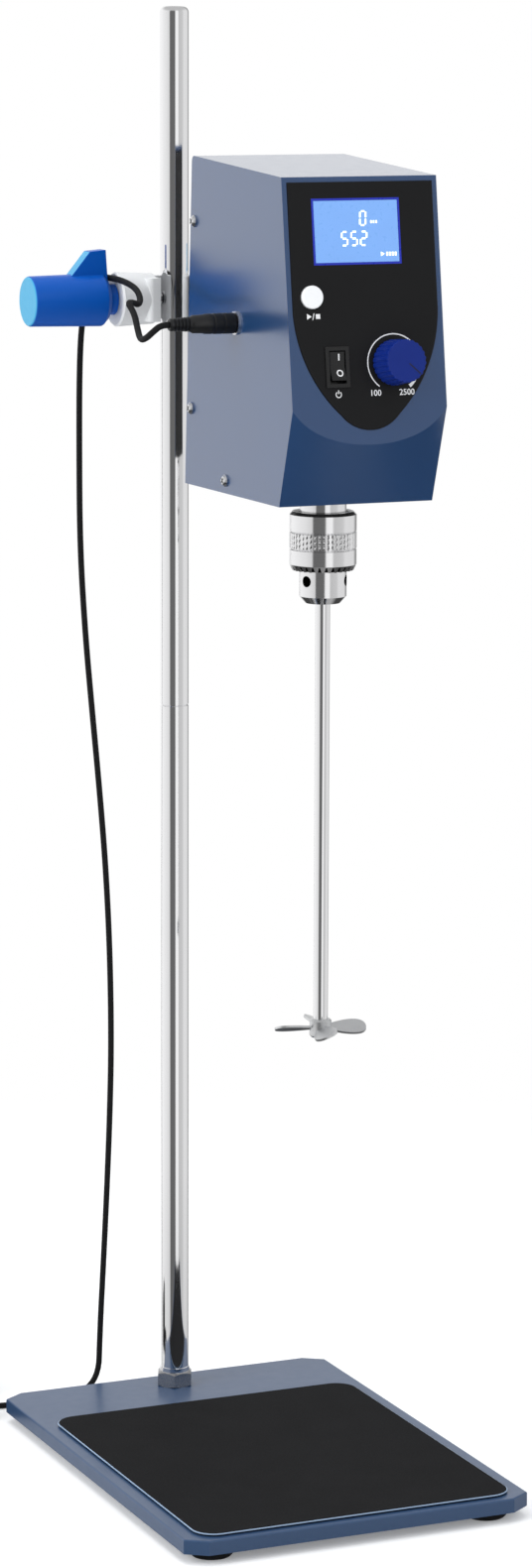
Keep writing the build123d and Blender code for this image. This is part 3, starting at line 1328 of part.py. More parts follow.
# from the clamp down behind the rod, then along the bench to the coil
drop_route = [
    (-39.0, 128.0, 652.0),
    (-39.0, 140.0, 652.0),
    (-39.6, 151.5, 643.5),
    (-41.2, 157.8, 626.0),
    (-42.2, 159.2, 600.0),
    (-42.6, 159.0, 555.0),
    (-42.4, 159.0, 500.0),
    (-39.4, 159.2, 450.0),
    (-35.4, 159.0, 405.0),
    (-31.2, 158.8, 360.0),
    (-27.4, 159.0, 315.0),
    (-24.9, 159.0, 265.0),
    (-24.1, 159.0, 210.0),
    (-25.2, 159.2, 165.0),
    (-27.2, 159.0, 122.0),
    (-29.4, 159.0, 80.0),
    (-31.6, 159.0, 42.0),
    (-34.4, 159.0, 18.0),
    (-42.4, 158.6, 5.0),
    (-56.0, 157.4, FLOOR_LIE),
    (-76.0, 156.4, FLOOR_LIE),
    (COIL_X + COIL_D / 2 + BUNDLE_D / 2, 154.6, FLOOR_LIE),
]


def corner_radii(points):
    """Arc radii for a route: 0.45 of the shorter run over the tangent of half the turn."""
    radii = []
    for before, corner, after in zip(points, points[1:], points[2:]):
        run_in = Vector(*corner) - Vector(*before)
        run_out = Vector(*after) - Vector(*corner)
        half_turn = radians(run_in.get_angle(run_out)) / 2
        radii.append(0.45 * min(run_in.length, run_out.length) / tan(half_turn))
    return radii


def cord_tube(points):
    """Round cord swept along straight runs joined by tangent arcs."""
    radii = corner_radii(points)
    print("radii", [round(radius, 1) for radius in radii])
    with BuildLine():
        path = FilletPolyline(*points, radius=radii)
    with BuildPart() as tube:
        with BuildSketch(Plane(origin=points[0], z_dir=path % 0)) as section:
            Circle(CORD_D / 2)
        sweep(section.sketch, path=path)
    filled = path.length * pi * (CORD_D / 2) ** 2
    print("length", round(path.length, 1), "volume share", round(tube.part.volume / filled, 4))
    return tube.part


power_cord_lead = cord_tube(lead_route)
power_cord_lead.label = "power_cord_lead"
export_step(power_cord_lead, "parts/power_cord_lead.step")

power_cord_drop = cord_tube(drop_route)
power_cord_drop.label = "power_cord_drop"
export_step(power_cord_drop, "parts/power_cord_drop.step")

BUNDLE_R = BUNDLE_D / 2
COIL_AXIS = upright(COIL_X, COIL_Y)
with BuildPart() as cord_coil:
    with BuildSketch(COIL_AXIS) as bundle:
        with Locations((COIL_D / 2, BUNDLE_R)):
            RectangleRounded(BUNDLE_D, BUNDLE_D, BUNDLE_R - 1)
    revolve(bundle.sketch, axis=Axis(COIL_AXIS.origin, COIL_AXIS.y_dir))
cord_coil.part.label = "cord_coil"
export_step(cord_coil.part, "parts/cord_coil.step")

with BuildPart() as cord_tie:
    with BuildSketch(Plane.XZ.offset(-COIL_Y - TIE_W / 2)):
        with Locations((COIL_X - COIL_D / 2, BUNDLE_R)):
            RectangleRounded(BUNDLE_D + TIE_SLACK + 2 * TIE_T, BUNDLE_D + TIE_SLACK + 2 * TIE_T, BUNDLE_R)
            RectangleRounded(BUNDLE_D + TIE_SLACK, BUNDLE_D + TIE_SLACK, BUNDLE_R - 1, mode=Mode.SUBTRACT)
    extrude(amount=TIE_W)
    with BuildSketch(Plane.XY.offset(-5)):
        with Locations((COIL_X, COIL_Y)):
            Rectangle(4 * COIL_D, COIL_D)
    extrude(amount=5, mode=Mode.SUBTRACT)
cord_tie.part.label = "cord_tie"
export_step(cord_tie.part, "parts/cord_tie.step")

ADAPTER_Y = COIL_Y + COIL_D / 2 + BUNDLE_R + ADAPTER_W / 2 + 0.3
with BuildPart() as power_adapter:
    with BuildSketch(Plane.XY):
        with Locations((COIL_X, ADAPTER_Y)):
            RectangleRounded(ADAPTER_L, ADAPTER_W, ADAPTER_R)
    extrude(amount=ADAPTER_H)
    fillet(power_adapter.edges().group_by(Axis.Z)[-1], 2)
power_adapter.part.label = "power_adapter"
export_step(power_adapter.part, "parts/power_adapter.step")

with BuildPart() as adapter_pins:
    with BuildSketch(Plane.YZ.offset(COIL_X - ADAPTER_L / 2)):
        with Locations((ADAPTER_Y, ADAPTER_H / 2)):
            with GridLocations(PIN_SPAN, 1, 2, 1):
                Rectangle(PIN_BLADE_T, PIN_BLADE_W)
    extrude(amount=-PIN_BLADE_L)
adapter_pins.part.label = "adapter_pins"
export_step(adapter_pins.part, "parts/adapter_pins.step")
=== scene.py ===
import json
from math import atan2, cos, pi, radians, sin

import bmesh
import bpy
from mathutils import Matrix, Vector
from mathutils.bvhtree import BVHTree

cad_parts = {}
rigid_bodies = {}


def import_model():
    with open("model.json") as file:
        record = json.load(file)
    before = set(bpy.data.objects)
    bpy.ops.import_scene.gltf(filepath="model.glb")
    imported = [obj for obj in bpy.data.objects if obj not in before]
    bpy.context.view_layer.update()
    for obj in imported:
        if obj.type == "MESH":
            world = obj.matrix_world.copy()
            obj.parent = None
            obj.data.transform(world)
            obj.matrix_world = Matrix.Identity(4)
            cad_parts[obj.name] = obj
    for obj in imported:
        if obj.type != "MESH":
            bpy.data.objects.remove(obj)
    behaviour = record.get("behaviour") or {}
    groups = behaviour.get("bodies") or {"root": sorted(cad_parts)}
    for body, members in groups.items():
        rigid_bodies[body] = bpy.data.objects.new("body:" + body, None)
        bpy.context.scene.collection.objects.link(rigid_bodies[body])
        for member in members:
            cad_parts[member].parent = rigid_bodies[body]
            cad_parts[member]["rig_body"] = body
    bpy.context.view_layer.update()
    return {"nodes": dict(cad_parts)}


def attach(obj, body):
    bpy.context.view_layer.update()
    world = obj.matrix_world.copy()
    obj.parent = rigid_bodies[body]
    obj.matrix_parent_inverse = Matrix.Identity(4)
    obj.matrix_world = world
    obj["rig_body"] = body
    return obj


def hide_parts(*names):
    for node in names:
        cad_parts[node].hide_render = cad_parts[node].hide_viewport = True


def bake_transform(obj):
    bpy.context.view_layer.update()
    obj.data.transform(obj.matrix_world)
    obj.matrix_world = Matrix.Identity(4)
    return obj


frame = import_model()

# Looks of the overhead stirrer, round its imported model. Sizes are in metres; lists and sizes
# that are in millimetres are multiplied by MM where they are used.
MM = 0.001

# ---------------------------------------------------------------- camera
CAMERA_AT = Vector((-0.98898, -2.27208, 0.81689))
CAMERA_TURN = radians(23.59)     # to the right of +Y
CAMERA_DIP = radians(9.88)
CAMERA_ROLL = radians(0.18)
LENS = 106.65                    # focal length and sensor width in millimetres
SENSOR = 36.0
CAMERA_REACH = 50                # farthest that it sees, in metres


def add_camera():
    """Camera at its place, turned, dipped and rolled as above."""
    heading = Vector((sin(CAMERA_TURN), cos(CAMERA_TURN), 0))
    ahead = heading * cos(CAMERA_DIP) - Vector((0, 0, sin(CAMERA_DIP)))
    level = Vector((cos(CAMERA_TURN), -sin(CAMERA_TURN), 0))
    right = cos(CAMERA_ROLL) * level + sin(CAMERA_ROLL) * level.cross(ahead)
    up = right.cross(ahead)
    data = bpy.data.cameras.new("camera")
    data.sensor_width = SENSOR
    data.lens = LENS
    data.clip_end = CAMERA_REACH
    camera = bpy.data.objects.new("camera", data)
    bpy.context.scene.collection.objects.link(camera)
    turn = Matrix((right, up, -ahead)).transposed()
    camera.matrix_world = Matrix.Translation(CAMERA_AT) @ turn.to_4x4()
    bpy.context.scene.camera = camera


add_camera()

# ---------------------------------------------------------------- finishes
COLOUR_A = 6                     # sockets of a Mix node that mixes colours
COLOUR_B = 7
COLOUR_OUT = 2
NOISE_SPAN = (0.3, 0.7)          # values between which a noise texture mostly lies
SPINDLE_AT = (0.022, -0.0316, 0.0)  # axis of the spindle, chuck and shaft
# black that is painted as shade in the chuck's bores and the knurl's valleys
PAINTED_SHADE_BLACK = (0.012, 0.012, 0.013, 1.0)


def srgb(red, green, blue):
    """Linear colour of an sRGB colour written from 0 to 255."""
    parts = [value / 255 for value in (red, green, blue)]
    return [p / 12.92 if p <= 0.04045 else ((p + 0.055) / 1.055) ** 2.4 for p in parts] + [1.0]


def dimmed(colour, share):
    """Colour with each channel times share."""
    return [value * share for value in colour[:3]] + [1.0]


class Finish:
    """A node material built round one Principled shader."""

    def __init__(self, name):
        self.material = bpy.data.materials.new(name)
        self.material.use_nodes = True
        self.nodes = self.material.node_tree.nodes
        self.shader = self.nodes["Principled BSDF"]
        self.place = self.nodes.new("ShaderNodeTexCoord").outputs["Object"]

    def link(self, source, target):
        self.material.node_tree.links.new(source, target)

    def set(self, **values):
        """Uniform values of the shader, by the names of its sockets."""
        for socket, value in values.items():
            self.shader.inputs[socket.replace("_", " ")].default_value = value

    def math(self, operation, first, second):
        """Output of a math node fed by a socket and by a socket or a number."""
        step = self.nodes.new("ShaderNodeMath")
        step.operation = operation
        self.link(first, step.inputs[0])
        if isinstance(second, float):
            step.inputs[1].default_value = second
        else:
            self.link(second, step.inputs[1])
        return step.outputs[0]

    def noise(self, scale, detail=3.0, stretch=None):
        """Output of a noise texture, drawn out along the axes where stretch is small."""
        texture = self.nodes.new("ShaderNodeTexNoise")
        texture.inputs["Scale"].default_value = scale
        texture.inputs["Detail"].default_value = detail
        source = self.place
        if stretch:
            mapping = self.nodes.new("ShaderNodeMapping")
            mapping.inputs["Scale"].default_value = stretch
            self.link(source, mapping.inputs["Vector"])
            source = mapping.outputs["Vector"]
        self.link(source, texture.inputs["Vector"])
        return texture.outputs["Fac"]

    def colour(self, factor, first, second):
        """Base colour that runs from first to second with the factor."""
        mix = self.nodes.new("ShaderNodeMix")
        mix.data_type = "RGBA"
        mix.inputs[COLOUR_A].default_value = first
        mix.inputs[COLOUR_B].default_value = second
        self.link(factor, mix.inputs["Factor"])
        self.link(mix.outputs[COLOUR_OUT], self.shader.inputs["Base Color"])

    def paint_shade_near_axis(self, radius, height):
        """Paint the base colour black, as shade, nearer the spindle's axis than radius and above height."""
        flat = self.nodes.new("ShaderNodeVectorMath")
        flat.operation = "MULTIPLY"
        flat.inputs[1].default_value = (1, 1, 0)
        self.link(self.place, flat.inputs[0])
        away = self.nodes.new("ShaderNodeVectorMath")
        away.operation = "DISTANCE"
        away.inputs[1].default_value = SPINDLE_AT
        self.link(flat.outputs["Vector"], away.inputs[0])
        parts = self.nodes.new("ShaderNodeSeparateXYZ")
        self.link(self.place, parts.inputs["Vector"])
        near = self.math("LESS_THAN", away.outputs["Value"], radius)
        inside = self.math("MULTIPLY", near, self.math("GREATER_THAN", parts.outputs["Z"], height))
        mix = self.nodes.new("ShaderNodeMix")
        mix.data_type = "RGBA"
        mix.inputs[COLOUR_B].default_value = PAINTED_SHADE_BLACK
        self.link(self.shader.inputs["Base Color"].links[0].from_socket, mix.inputs[COLOUR_A])
        self.link(inside, mix.inputs["Factor"])
        self.link(mix.outputs[COLOUR_OUT], self.shader.inputs["Base Color"])

    def roughness(self, factor, low, high):
        """Roughness that runs from low to high with a noise factor."""
        spread = self.nodes.new("ShaderNodeMapRange")
        spread.inputs["From Min"].default_value = NOISE_SPAN[0]
        spread.inputs["From Max"].default_value = NOISE_SPAN[1]
        spread.inputs["To Min"].default_value = low
        spread.inputs["To Max"].default_value = high
        self.link(factor, spread.inputs["Value"])
        self.link(spread.outputs["Result"], self.shader.inputs["Roughness"])

    def bump(self, height, strength, depth):
        """Fine relief of the surface, depth in metres."""
        relief = self.nodes.new("ShaderNodeBump")
        relief.inputs["Strength"].default_value = strength
        relief.inputs["Distance"].default_value = depth
        self.link(height, relief.inputs["Height"])
        self.link(relief.outputs["Normal"], self.shader.inputs["Normal"])


def paint(name, colour, rough, peel, coat):
    """Baked paint with a faint orange peel, and a soft drift in its tone."""
    look = Finish(name)
    look.colour(look.noise(18), dimmed(colour, 0.94), dimmed(colour, 1.06))
    look.roughness(look.noise(140), rough - 0.015, rough + 0.02)
    look.bump(look.noise(peel, 2), 0.1, 0.00006)
    look.set(Coat_Weight=coat, Coat_Roughness=0.22)
    return look.material


def plastic(name, colour, rough, grain=1800, depth=0.00004, gloss=0.5):
    """Moulded plastic with a fine spark-eroded grain."""
    look = Finish(name)
    look.colour(look.noise(60), dimmed(colour, 0.93), dimmed(colour, 1.07))
    look.roughness(look.noise(300), rough - 0.05, rough + 0.05)
    look.bump(look.noise(grain, 4), 0.3, depth)
    look.set(Specular_IOR_Level=gloss)
    return look.material


PAINTED_HIGHLIGHT_FACING = (0.5, 0.8)          # how squarely a face looks along -X where the painted highlight of the lit end begins and fills


def knob_with_painted_highlight(name, colour, painted_highlight_colour, rough):
    """Bright plastic whose end towards -X, the side that the light falls on, has a paler tone as a painted
    highlight.
    """
    look = Finish(name)
    parts = look.nodes.new("ShaderNodeSeparateXYZ")
    facing = look.nodes.new("ShaderNodeTexCoord")
    look.link(facing.outputs["Normal"], parts.inputs["Vector"])
    ends = look.nodes.new("ShaderNodeMapRange")
    ends.inputs["From Min"].default_value = PAINTED_HIGHLIGHT_FACING[0]
    ends.inputs["From Max"].default_value = PAINTED_HIGHLIGHT_FACING[1]
    look.link(look.math("MULTIPLY", parts.outputs["X"], -1.0), ends.inputs["Value"])
    look.colour(ends.outputs["Result"], colour, painted_highlight_colour)
    look.roughness(look.noise(300), rough - 0.05, rough + 0.05)
    look.bump(look.noise(2600, 4), 0.3, 0.00002)
    look.set(Specular_IOR_Level=0.28)
    return look.material


EVEN = (1, 1, 1)                 # stretch of a metal's grain: the lines run where it is small
ALONG_X = (0.02, 1, 1)
ALONG_Y = (1, 0.02, 1)
ALONG_Z = (1, 1, 0.02)
ROUND_Z = (0.15, 0.15, 1)
BODY_BORES = (0.0124, 0.4925)    # radius inside which, and height above which, a piece is painted black as shade
SLEEVE_BORE = (0.0157, 0.1)
KNURL_VALLEYS = (0.01776, 0.1)


def metal(name, colour, rough, stretch=EVEN, grain=900, depth=0.00001, dark_core=None):
    """Bare metal with the faint lines of its machining.

    dark_core is a radius round the spindle's axis, and a height: nearer the axis than the one and
    above the other, the metal is painted black as shade, as in the bores and slots of a chuck."""
    look = Finish(name)
    lines = look.noise(grain, 4, stretch)
    look.colour(lines, dimmed(colour, 0.92), colour)
    if dark_core:
        look.paint_shade_near_axis(*dark_core)
    look.roughness(lines, rough * 0.75, rough * 1.3)
    look.bump(lines, 0.2, depth)
    look.set(Metallic=1.0)
    return look.material


def rubber(name, colour, grain, gloss):
    """Dull rubber with a fine, uneven grain."""
    look = Finish(name)
    look.colour(look.noise(45), dimmed(colour, 0.85), dimmed(colour, 1.15))
    look.roughness(look.noise(grain, 5), 0.7, 0.9)
    look.bump(look.noise(grain, 5), 0.45, 0.00012)
    look.set(Specular_IOR_Level=gloss)
    return look.material


def glowing(name, colour, strength, rough=0.3):
    """Surface lit from behind, a little uneven."""
    look = Finish(name)
    look.colour(look.noise(80), dimmed(colour, 0.95), colour)
    look.roughness(look.noise(500), rough - 0.04, rough + 0.04)
    look.set(Emission_Color=colour, Emission_Strength=strength)
    return look.material


blue_paint = paint("blue_paint", srgb(27, 61, 103), 0.22, 900, 0.85)
base_paint = paint("base_paint", srgb(46, 72, 106), 0.4, 1500, 0.3)
nut_steel = metal("nut_steel", (0.46, 0.46, 0.47, 1), 0.26, EVEN, 250, 0.000002)
# the mat bead's pale colour is a painted highlight of the mat's rounded edge
mat_edge_highlight = plastic("mat_edge_highlight", srgb(150, 172, 198), 0.4, 1500, 0.00002)
blade_steel = metal("blade_steel", (0.80, 0.81, 0.82, 1), 0.4, EVEN, 120, 0.000001)
polished = metal("polished_steel", (0.93, 0.93, 0.94, 1), 0.07, ALONG_Z, 2500)
CHROME = (0.90, 0.90, 0.91, 1)
chrome = metal("chuck_steel", CHROME, 0.10, ROUND_Z, 2500)
# The dark cores of the next three steels are painted shade in the knurl's valleys and the chuck's bores.
knurl_steel = metal("knurl_steel", (0.86, 0.86, 0.87, 1), 0.2, ROUND_Z, 2500, dark_core=KNURL_VALLEYS)
body_chrome = metal("chuck_body_steel", CHROME, 0.10, ROUND_Z, 2500, dark_core=BODY_BORES)
sleeve_chrome = metal("chuck_sleeve_steel", CHROME, 0.10, ROUND_Z, 2500, dark_core=SLEEVE_BORE)
satin = metal("satin_steel", (0.72, 0.73, 0.75, 1), 0.28, ALONG_X, 1800)
bar_steel = metal("bar_steel", (0.78, 0.79, 0.81, 1), 0.2, ALONG_Y, 1800)
dark_steel = metal("dark_steel", (0.20, 0.20, 0.21, 1), 0.32, ROUND_Z, 1500)
nickel = metal("bright_nickel", (0.92, 0.92, 0.93, 1), 0.3, EVEN, 700)
zinc = metal("zinc_plate", (0.75, 0.76, 0.78, 1), 0.2, EVEN, 700)
alloy = metal("cast_alloy", (0.70, 0.71, 0.72, 1), 0.42, EVEN, 700, 0.00004)
casting = plastic("pale_casting", srgb(228, 229, 230), 0.42, 1100, 0.00008)
mat_rubber = rubber("mat_rubber", srgb(32, 32, 33), 1300, 0.04)
foot_rubber = rubber("foot_rubber", srgb(24, 24, 25), 900, 0.2)
cord_rubber = rubber("cord_rubber", srgb(20, 20, 21), 1200, 0.35)
# The knob's paler tone on its end towards -X is a painted highlight.
knob_blue = knob_with_painted_highlight("knob_blue", srgb(0, 82, 176), srgb(70, 164, 204), 0.34)
dial_blue = plastic("dial_blue", srgb(10, 38, 122), 0.5, 2600, 0.00003, gloss=0.25)
panel_black = plastic("panel_black", srgb(24, 24, 25), 0.42, 2600, 0.00003, gloss=0.15)
switch_black = plastic("switch_black", srgb(17, 17, 18), 0.26, 2600, 0.00002)
black_plastic = plastic("black_plastic", srgb(22, 22, 23), 0.38, 1500, 0.00006)
button_white = plastic("button_white", srgb(246, 247, 248), 0.3, 2600, 0.00001)
board_green = plastic("board_green", srgb(20, 92, 52), 0.4)
print_white = plastic("print_white", srgb(240, 240, 240), 0.5, 3000, 0.00001)
pointer_dark = plastic("pointer_dark", srgb(10, 18, 52), 0.5, 3000, 0.00001)
screen_lit = glowing("screen_lit", srgb(124, 172, 238), 0.12)
screen_edge = glowing("screen_edge", srgb(14, 30, 140), 0.7)
digits_lit = glowing("digits_lit", srgb(244, 250, 255), 0.85)

FINISHES = {
    base_paint: ["base_plate"],
    blue_paint: ["head_cover"],
    mat_rubber: ["base_mat"],
    foot_rubber: ["rubber_feet"],
    polished: ["stand_rod_lower", "stand_rod_upper", "stirrer_shaft"],
    chrome: ["spindle", "rod_washer"],
    body_chrome: ["chuck_body"],
    sleeve_chrome: ["chuck_sleeve"],
    dark_steel: [
        "chuck_jaw_1", "chuck_jaw_2", "chuck_jaw_3", "chuck_nut", "motor_shaft", "motor_can",
    ],
    blade_steel: ["stirrer_propeller"],
    nut_steel: ["rod_hex_nut"],
    nickel: ["dc_jack"],
    satin: ["rod_clamp_screw", "bar_clamp_screw", "rod_joint_stud", "lower_bearing", "upper_bearing"],
    bar_steel: ["mounting_bar", "bar_lock_nut"],
    zinc: ["foot_screws", "side_screws", "motor_mount_posts", "adapter_pins"],
    alloy: ["bearing_housing", "motor_mount_plate", "shaft_coupler"],
    casting: ["clamp_body"],
    knob_blue: ["rod_clamp_knob", "bar_clamp_knob"],
    dial_blue: ["speed_knob"],
    panel_black: ["control_panel"],
    switch_black: ["switch_housing", "switch_rocker"],
    black_plastic: [
        "head_chassis", "power_adapter", "cord_tie", "dc_plug", "display_module", "speed_encoder",
    ],
    cord_rubber: ["power_cord_drop", "power_cord_lead", "cord_coil"],
    button_white: ["run_stop_button"],
    board_green: ["control_board"],
    screen_lit: ["display_window"],
}
for material, members in FINISHES.items():
    for node in members:
        materials = frame["nodes"][node].data.materials
        materials.clear()
        materials.append(material)

# ---------------------------------------------------------------- making pieces
nodes = frame["nodes"]


def shown(name, mesh, material, body=None):
    """New piece of the scene with its finish, on the body that it moves with."""
    mesh.materials.clear()
    mesh.materials.append(material)
    piece = bpy.data.objects.new(name, mesh)
    bpy.context.scene.collection.objects.link(piece)
    if body:
        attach(piece, body)
    return piece


def mesh_of(verts, faces, smooth=False):
    """Mesh with the given corners, in metres, and faces."""
    mesh = bpy.data.meshes.new("piece")
    mesh.from_pydata([tuple(v) for v in verts], [], faces)
    mesh.update()
    for polygon in mesh.polygons:
        polygon.use_smooth = smooth
    return mesh


def strip_faces(rows, columns):
    """Four-sided faces between rows of corners, where each row closes on itself."""
    faces = []
    for row in range(rows - 1):
        low = row * columns
        high = low + columns
        for column in range(columns):
            after = (column + 1) % columns
            faces.append((low + column, low + after, high + after, high + column))
    return faces


def tube_faces(rows, columns):
    """Faces of a closed tube: its rings and a cap at each end."""
    first_cap = tuple(reversed(range(columns)))
    last_cap = tuple(range((rows - 1) * columns, rows * columns))
    return strip_faces(rows, columns) + [first_cap, last_cap]


def lathe(origin, axis, profile, sides=48):
    """Closed mesh turned about an axis from (distance along it, radius) points in millimetres."""
    axis = Vector(axis)
    across = axis.orthogonal().normalized()
    other = axis.cross(across)
    verts = []
    for along, radius in profile:
        for side in range(sides):
            turn = 2 * pi * side / sides
            out = across * cos(turn) + other * sin(turn)
            verts.append(Vector(origin) + (axis * along + out * radius) * MM)
    return mesh_of(verts, tube_faces(len(profile), sides), smooth=True)


def tube_mesh(line, radius, sides=16):
    """Round tube, its ends closed, whose rings follow a line without twisting."""
    verts = []
    ahead = (line[1] - line[0]).normalized()
    across = ahead.orthogonal().normalized()
    for ring, centre in enumerate(line):
        before = line[max(ring - 1, 0)]
        after = line[min(ring + 1, len(line) - 1)]
        turned = (after - before).normalized()
        across = (ahead.rotation_difference(turned) @ across).normalized()
        ahead = turned
        other = ahead.cross(across)
        for side in range(sides):
            turn = 2 * pi * side / sides
            verts.append(centre + (across * cos(turn) + other * sin(turn)) * radius)
    return mesh_of(verts, tube_faces(len(line), sides), smooth=True)


def crease(piece, angle):
    """Smooth shading that breaks at edges sharper than the angle, in degrees."""
    piece.data.set_sharp_from_angle(angle=radians(angle))


def modified(mesh, add_modifiers):
    """Copy of a mesh with the modifiers that add_modifiers puts on its object worked in."""
    holder = bpy.data.objects.new("holder", mesh)
    bpy.context.scene.collection.objects.link(holder)
    add_modifiers(holder)
    depsgraph = bpy.context.evaluated_depsgraph_get()
    result = bpy.data.meshes.new_from_object(holder.evaluated_get(depsgraph))
    bpy.data.objects.remove(holder)
    return result


# ---------------------------------------------------------------- softened edges and screw recesses
SOFTENED = [                     # node, edge width in millimetres, material, slot
    ("head_cover", 1.1, blue_paint, "blue_paint"),
    ("control_panel", 0.3, panel_black, "panel_black"),
    ("base_plate", 0.6, base_paint, "blue_paint"),
    ("base_mat", 0.5, mat_rubber, "mat_rubber"),
    ("clamp_body", 0.8, casting, "cast_light"),
    ("rod_clamp_knob", 0.9, knob_blue, "knob_blue"),
    ("bar_clamp_knob", 0.9, knob_blue, "knob_blue"),
    ("rod_hex_nut", 0.4, nut_steel, "steel_polished"),
    ("speed_knob", 0.3, dial_blue, "dial_blue"),
    ("switch_housing", 0.25, switch_black, "switch_black"),
    ("switch_rocker", 0.25, switch_black, "switch_black"),
    ("run_stop_button", 0.4, button_white, "button_white"),
    ("power_adapter", 0.8, black_plastic, "black_plastic"),
]
JOIN_WITHIN = 0.002              # corners nearer than this, in millimetres, become one corner
SLIGHT_TURN = radians(0.4)       # faces that meet flatter than this become one face
SHARP_TURN = radians(28)         # edges sharper than this are rounded over
SOFT_STEPS = 2
FACE_WEIGHT = 100                # large faces keep their normals, and edges take up the turn


def cleaned(node):
    """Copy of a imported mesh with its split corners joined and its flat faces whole."""
    work = bmesh.new()
    work.from_mesh(nodes[node].data)
    bmesh.ops.remove_doubles(work, verts=work.verts, dist=JOIN_WITHIN * MM)
    bmesh.ops.dissolve_limit(work, angle_limit=SLIGHT_TURN, verts=work.verts, edges=work.edges)
    for face in work.faces:
        face.smooth = True
    mesh = bpy.data.meshes.new(node + "_shape")
    work.to_mesh(mesh)
    work.free()
    return mesh


def with_soft_edges(mesh, width):
    """Mesh with its sharp edges rounded over, and with normals that keep its faces flat."""
    def soften(holder):
        bevel = holder.modifiers.new("bevel", "BEVEL")
        bevel.width = width
        bevel.segments = SOFT_STEPS
        bevel.limit_method = "ANGLE"
        bevel.angle_limit = SHARP_TURN
        normals = holder.modifiers.new("normals", "WEIGHTED_NORMAL")
        normals.weight = FACE_WEIGHT

    return modified(mesh, soften)


def add_softened(node, width, material):
    """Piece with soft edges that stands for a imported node."""
    mesh = with_soft_edges(cleaned(node), width * MM)
    piece = shown(node + "_soft", mesh, material, nodes[node]["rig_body"])
    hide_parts(node)


for node, width, material, slot in SOFTENED:
    add_softened(node, width, material)

CROSS_SPAN = 3.8                 # cross recess of a screw head, in millimetres
CROSS_ARM = 0.9
CROSS_DEPTH = 1.2
SCREW_CREASE = 35                # degrees
SIDE_SCREW_YZ = [(40.2, 686.7), (44.3, 586.0), (-3.2, 551.4)]
SIDE_SCREW_FACES = [(-24.2, -1), (68.2, 1)]      # X of the heads on each side, and the way they face
FOOT_SCREW_XY = [(-80, -122), (80, -122), (-80, 122), (80, 122)]
FOOT_SCREW_FACE_Z = 0.8          # the foot screws' heads face down


def cross_cutters(heads):
    """Crosses that are cut out of screw heads, each given by its middle and the way it faces."""
    near = CROSS_ARM / 2
    far = CROSS_SPAN / 2
    outline = [
        (near, far), (near, near), (far, near), (far, -near), (near, -near), (near, -far),
        (-near, -far), (-near, -near), (-far, -near), (-far, near), (-near, near), (-near, far),
    ]
    corners = len(outline)
    cutter = bmesh.new()
    for middle, out in heads:
        out = Vector(out)
        across = out.orthogonal().normalized()
        other = out.cross(across)
        rings = []
        for depth in (-CROSS_DEPTH, CROSS_DEPTH):
            level = Vector(middle) + out * depth
            places = [(level + across * a + other * b) * MM for a, b in outline]
            rings.append([cutter.verts.new(place) for place in places])
        for row in rings:
            cutter.faces.new(row)
        for step in range(corners):
            after = (step + 1) % corners
            cutter.faces.new((rings[0][step], rings[0][after], rings[1][after], rings[1][step]))
    bmesh.ops.recalc_face_normals(cutter, faces=cutter.faces)
    mesh = bpy.data.meshes.new("crosses")
    cutter.to_mesh(mesh)
    cutter.free()
    tool = bpy.data.objects.new("crosses", mesh)
    bpy.context.scene.collection.objects.link(tool)
    return tool


def add_crossed_screws(node, heads):
    """Screws with a cross recess in each head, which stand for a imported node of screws."""
    tool = cross_cutters(heads)

    def recess(holder):
        cut = holder.modifiers.new("cut", "BOOLEAN")
        cut.operation = "DIFFERENCE"
        cut.solver = "EXACT"
        cut.object = tool

    mesh = modified(cleaned(node), recess)
    bpy.data.objects.remove(tool)
    piece = shown(node + "_crossed", mesh, zinc, nodes[node]["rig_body"])
    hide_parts(node)
    crease(piece, SCREW_CREASE)


side_heads = [((x, y, z), (way, 0, 0)) for x, way in SIDE_SCREW_FACES for y, z in SIDE_SCREW_YZ]
foot_heads = [((x, y, FOOT_SCREW_FACE_Z), (0, 0, -1)) for x, y in FOOT_SCREW_XY]
add_crossed_screws("side_screws", side_heads)
add_crossed_screws("foot_screws", foot_heads)

# ---------------------------------------------------------------- knurl of the chuck and edge of the mat
KNURL_Z = (516.75, 525.55)
KNURL_R = 18.02
KNURL_DEEP = 0.4
KNURL_ROUND = 60                 # diamonds round the sleeve
KNURL_SLOPE = 1.5                # pitches that a ridge climbs for each pitch round
KNURL_SECOND = 0.8               # depth of the second set of grooves, as a share of the first
KNURL_FINE = 7                   # mesh columns to each diamond
KNURL_ROWS = 36


def knurl_radius(along, climb):
    """Radius of the knurl, along diamonds round the sleeve and climb diamonds up it."""
    first, second = [abs((along + way * climb) % 1 - 0.5) * 2 for way in (-1, 1)]
    return KNURL_R - KNURL_DEEP * max(first, KNURL_SECOND * second) ** 2


def add_knurl():
    """Band of raised diamonds round the chuck's sleeve."""
    low, high = KNURL_Z
    pitch = 2 * pi * KNURL_R / KNURL_ROUND
    columns = KNURL_ROUND * KNURL_FINE
    verts = []
    for row in range(KNURL_ROWS + 1):
        up = low + (high - low) * row / KNURL_ROWS
        edge = row in (0, KNURL_ROWS)
        for column in range(columns):
            turn = 2 * pi * column / columns
            radius = KNURL_R - KNURL_DEEP
            if not edge:
                radius = knurl_radius(column / KNURL_FINE, (up - low) / pitch / KNURL_SLOPE)
            out = Vector((cos(turn), sin(turn), 0))
            verts.append(Vector(SPINDLE_AT) + (out * radius + Vector((0, 0, up))) * MM)
    mesh = mesh_of(verts, strip_faces(KNURL_ROWS + 1, columns), smooth=True)
    knurl = shown("sleeve_knurl", mesh, knurl_steel, "sleeve")


add_knurl()

MAT_HALF = (91.0, 108.0)         # half size of the mat, its corner radius and middle
MAT_CORNER = 12.0
MAT_AT = (0.0, -26.5)
MAT_CORNER_STEPS = 12
BEAD_Z = 14.7
BEAD_R = 0.42
BEAD_SIDES = 8


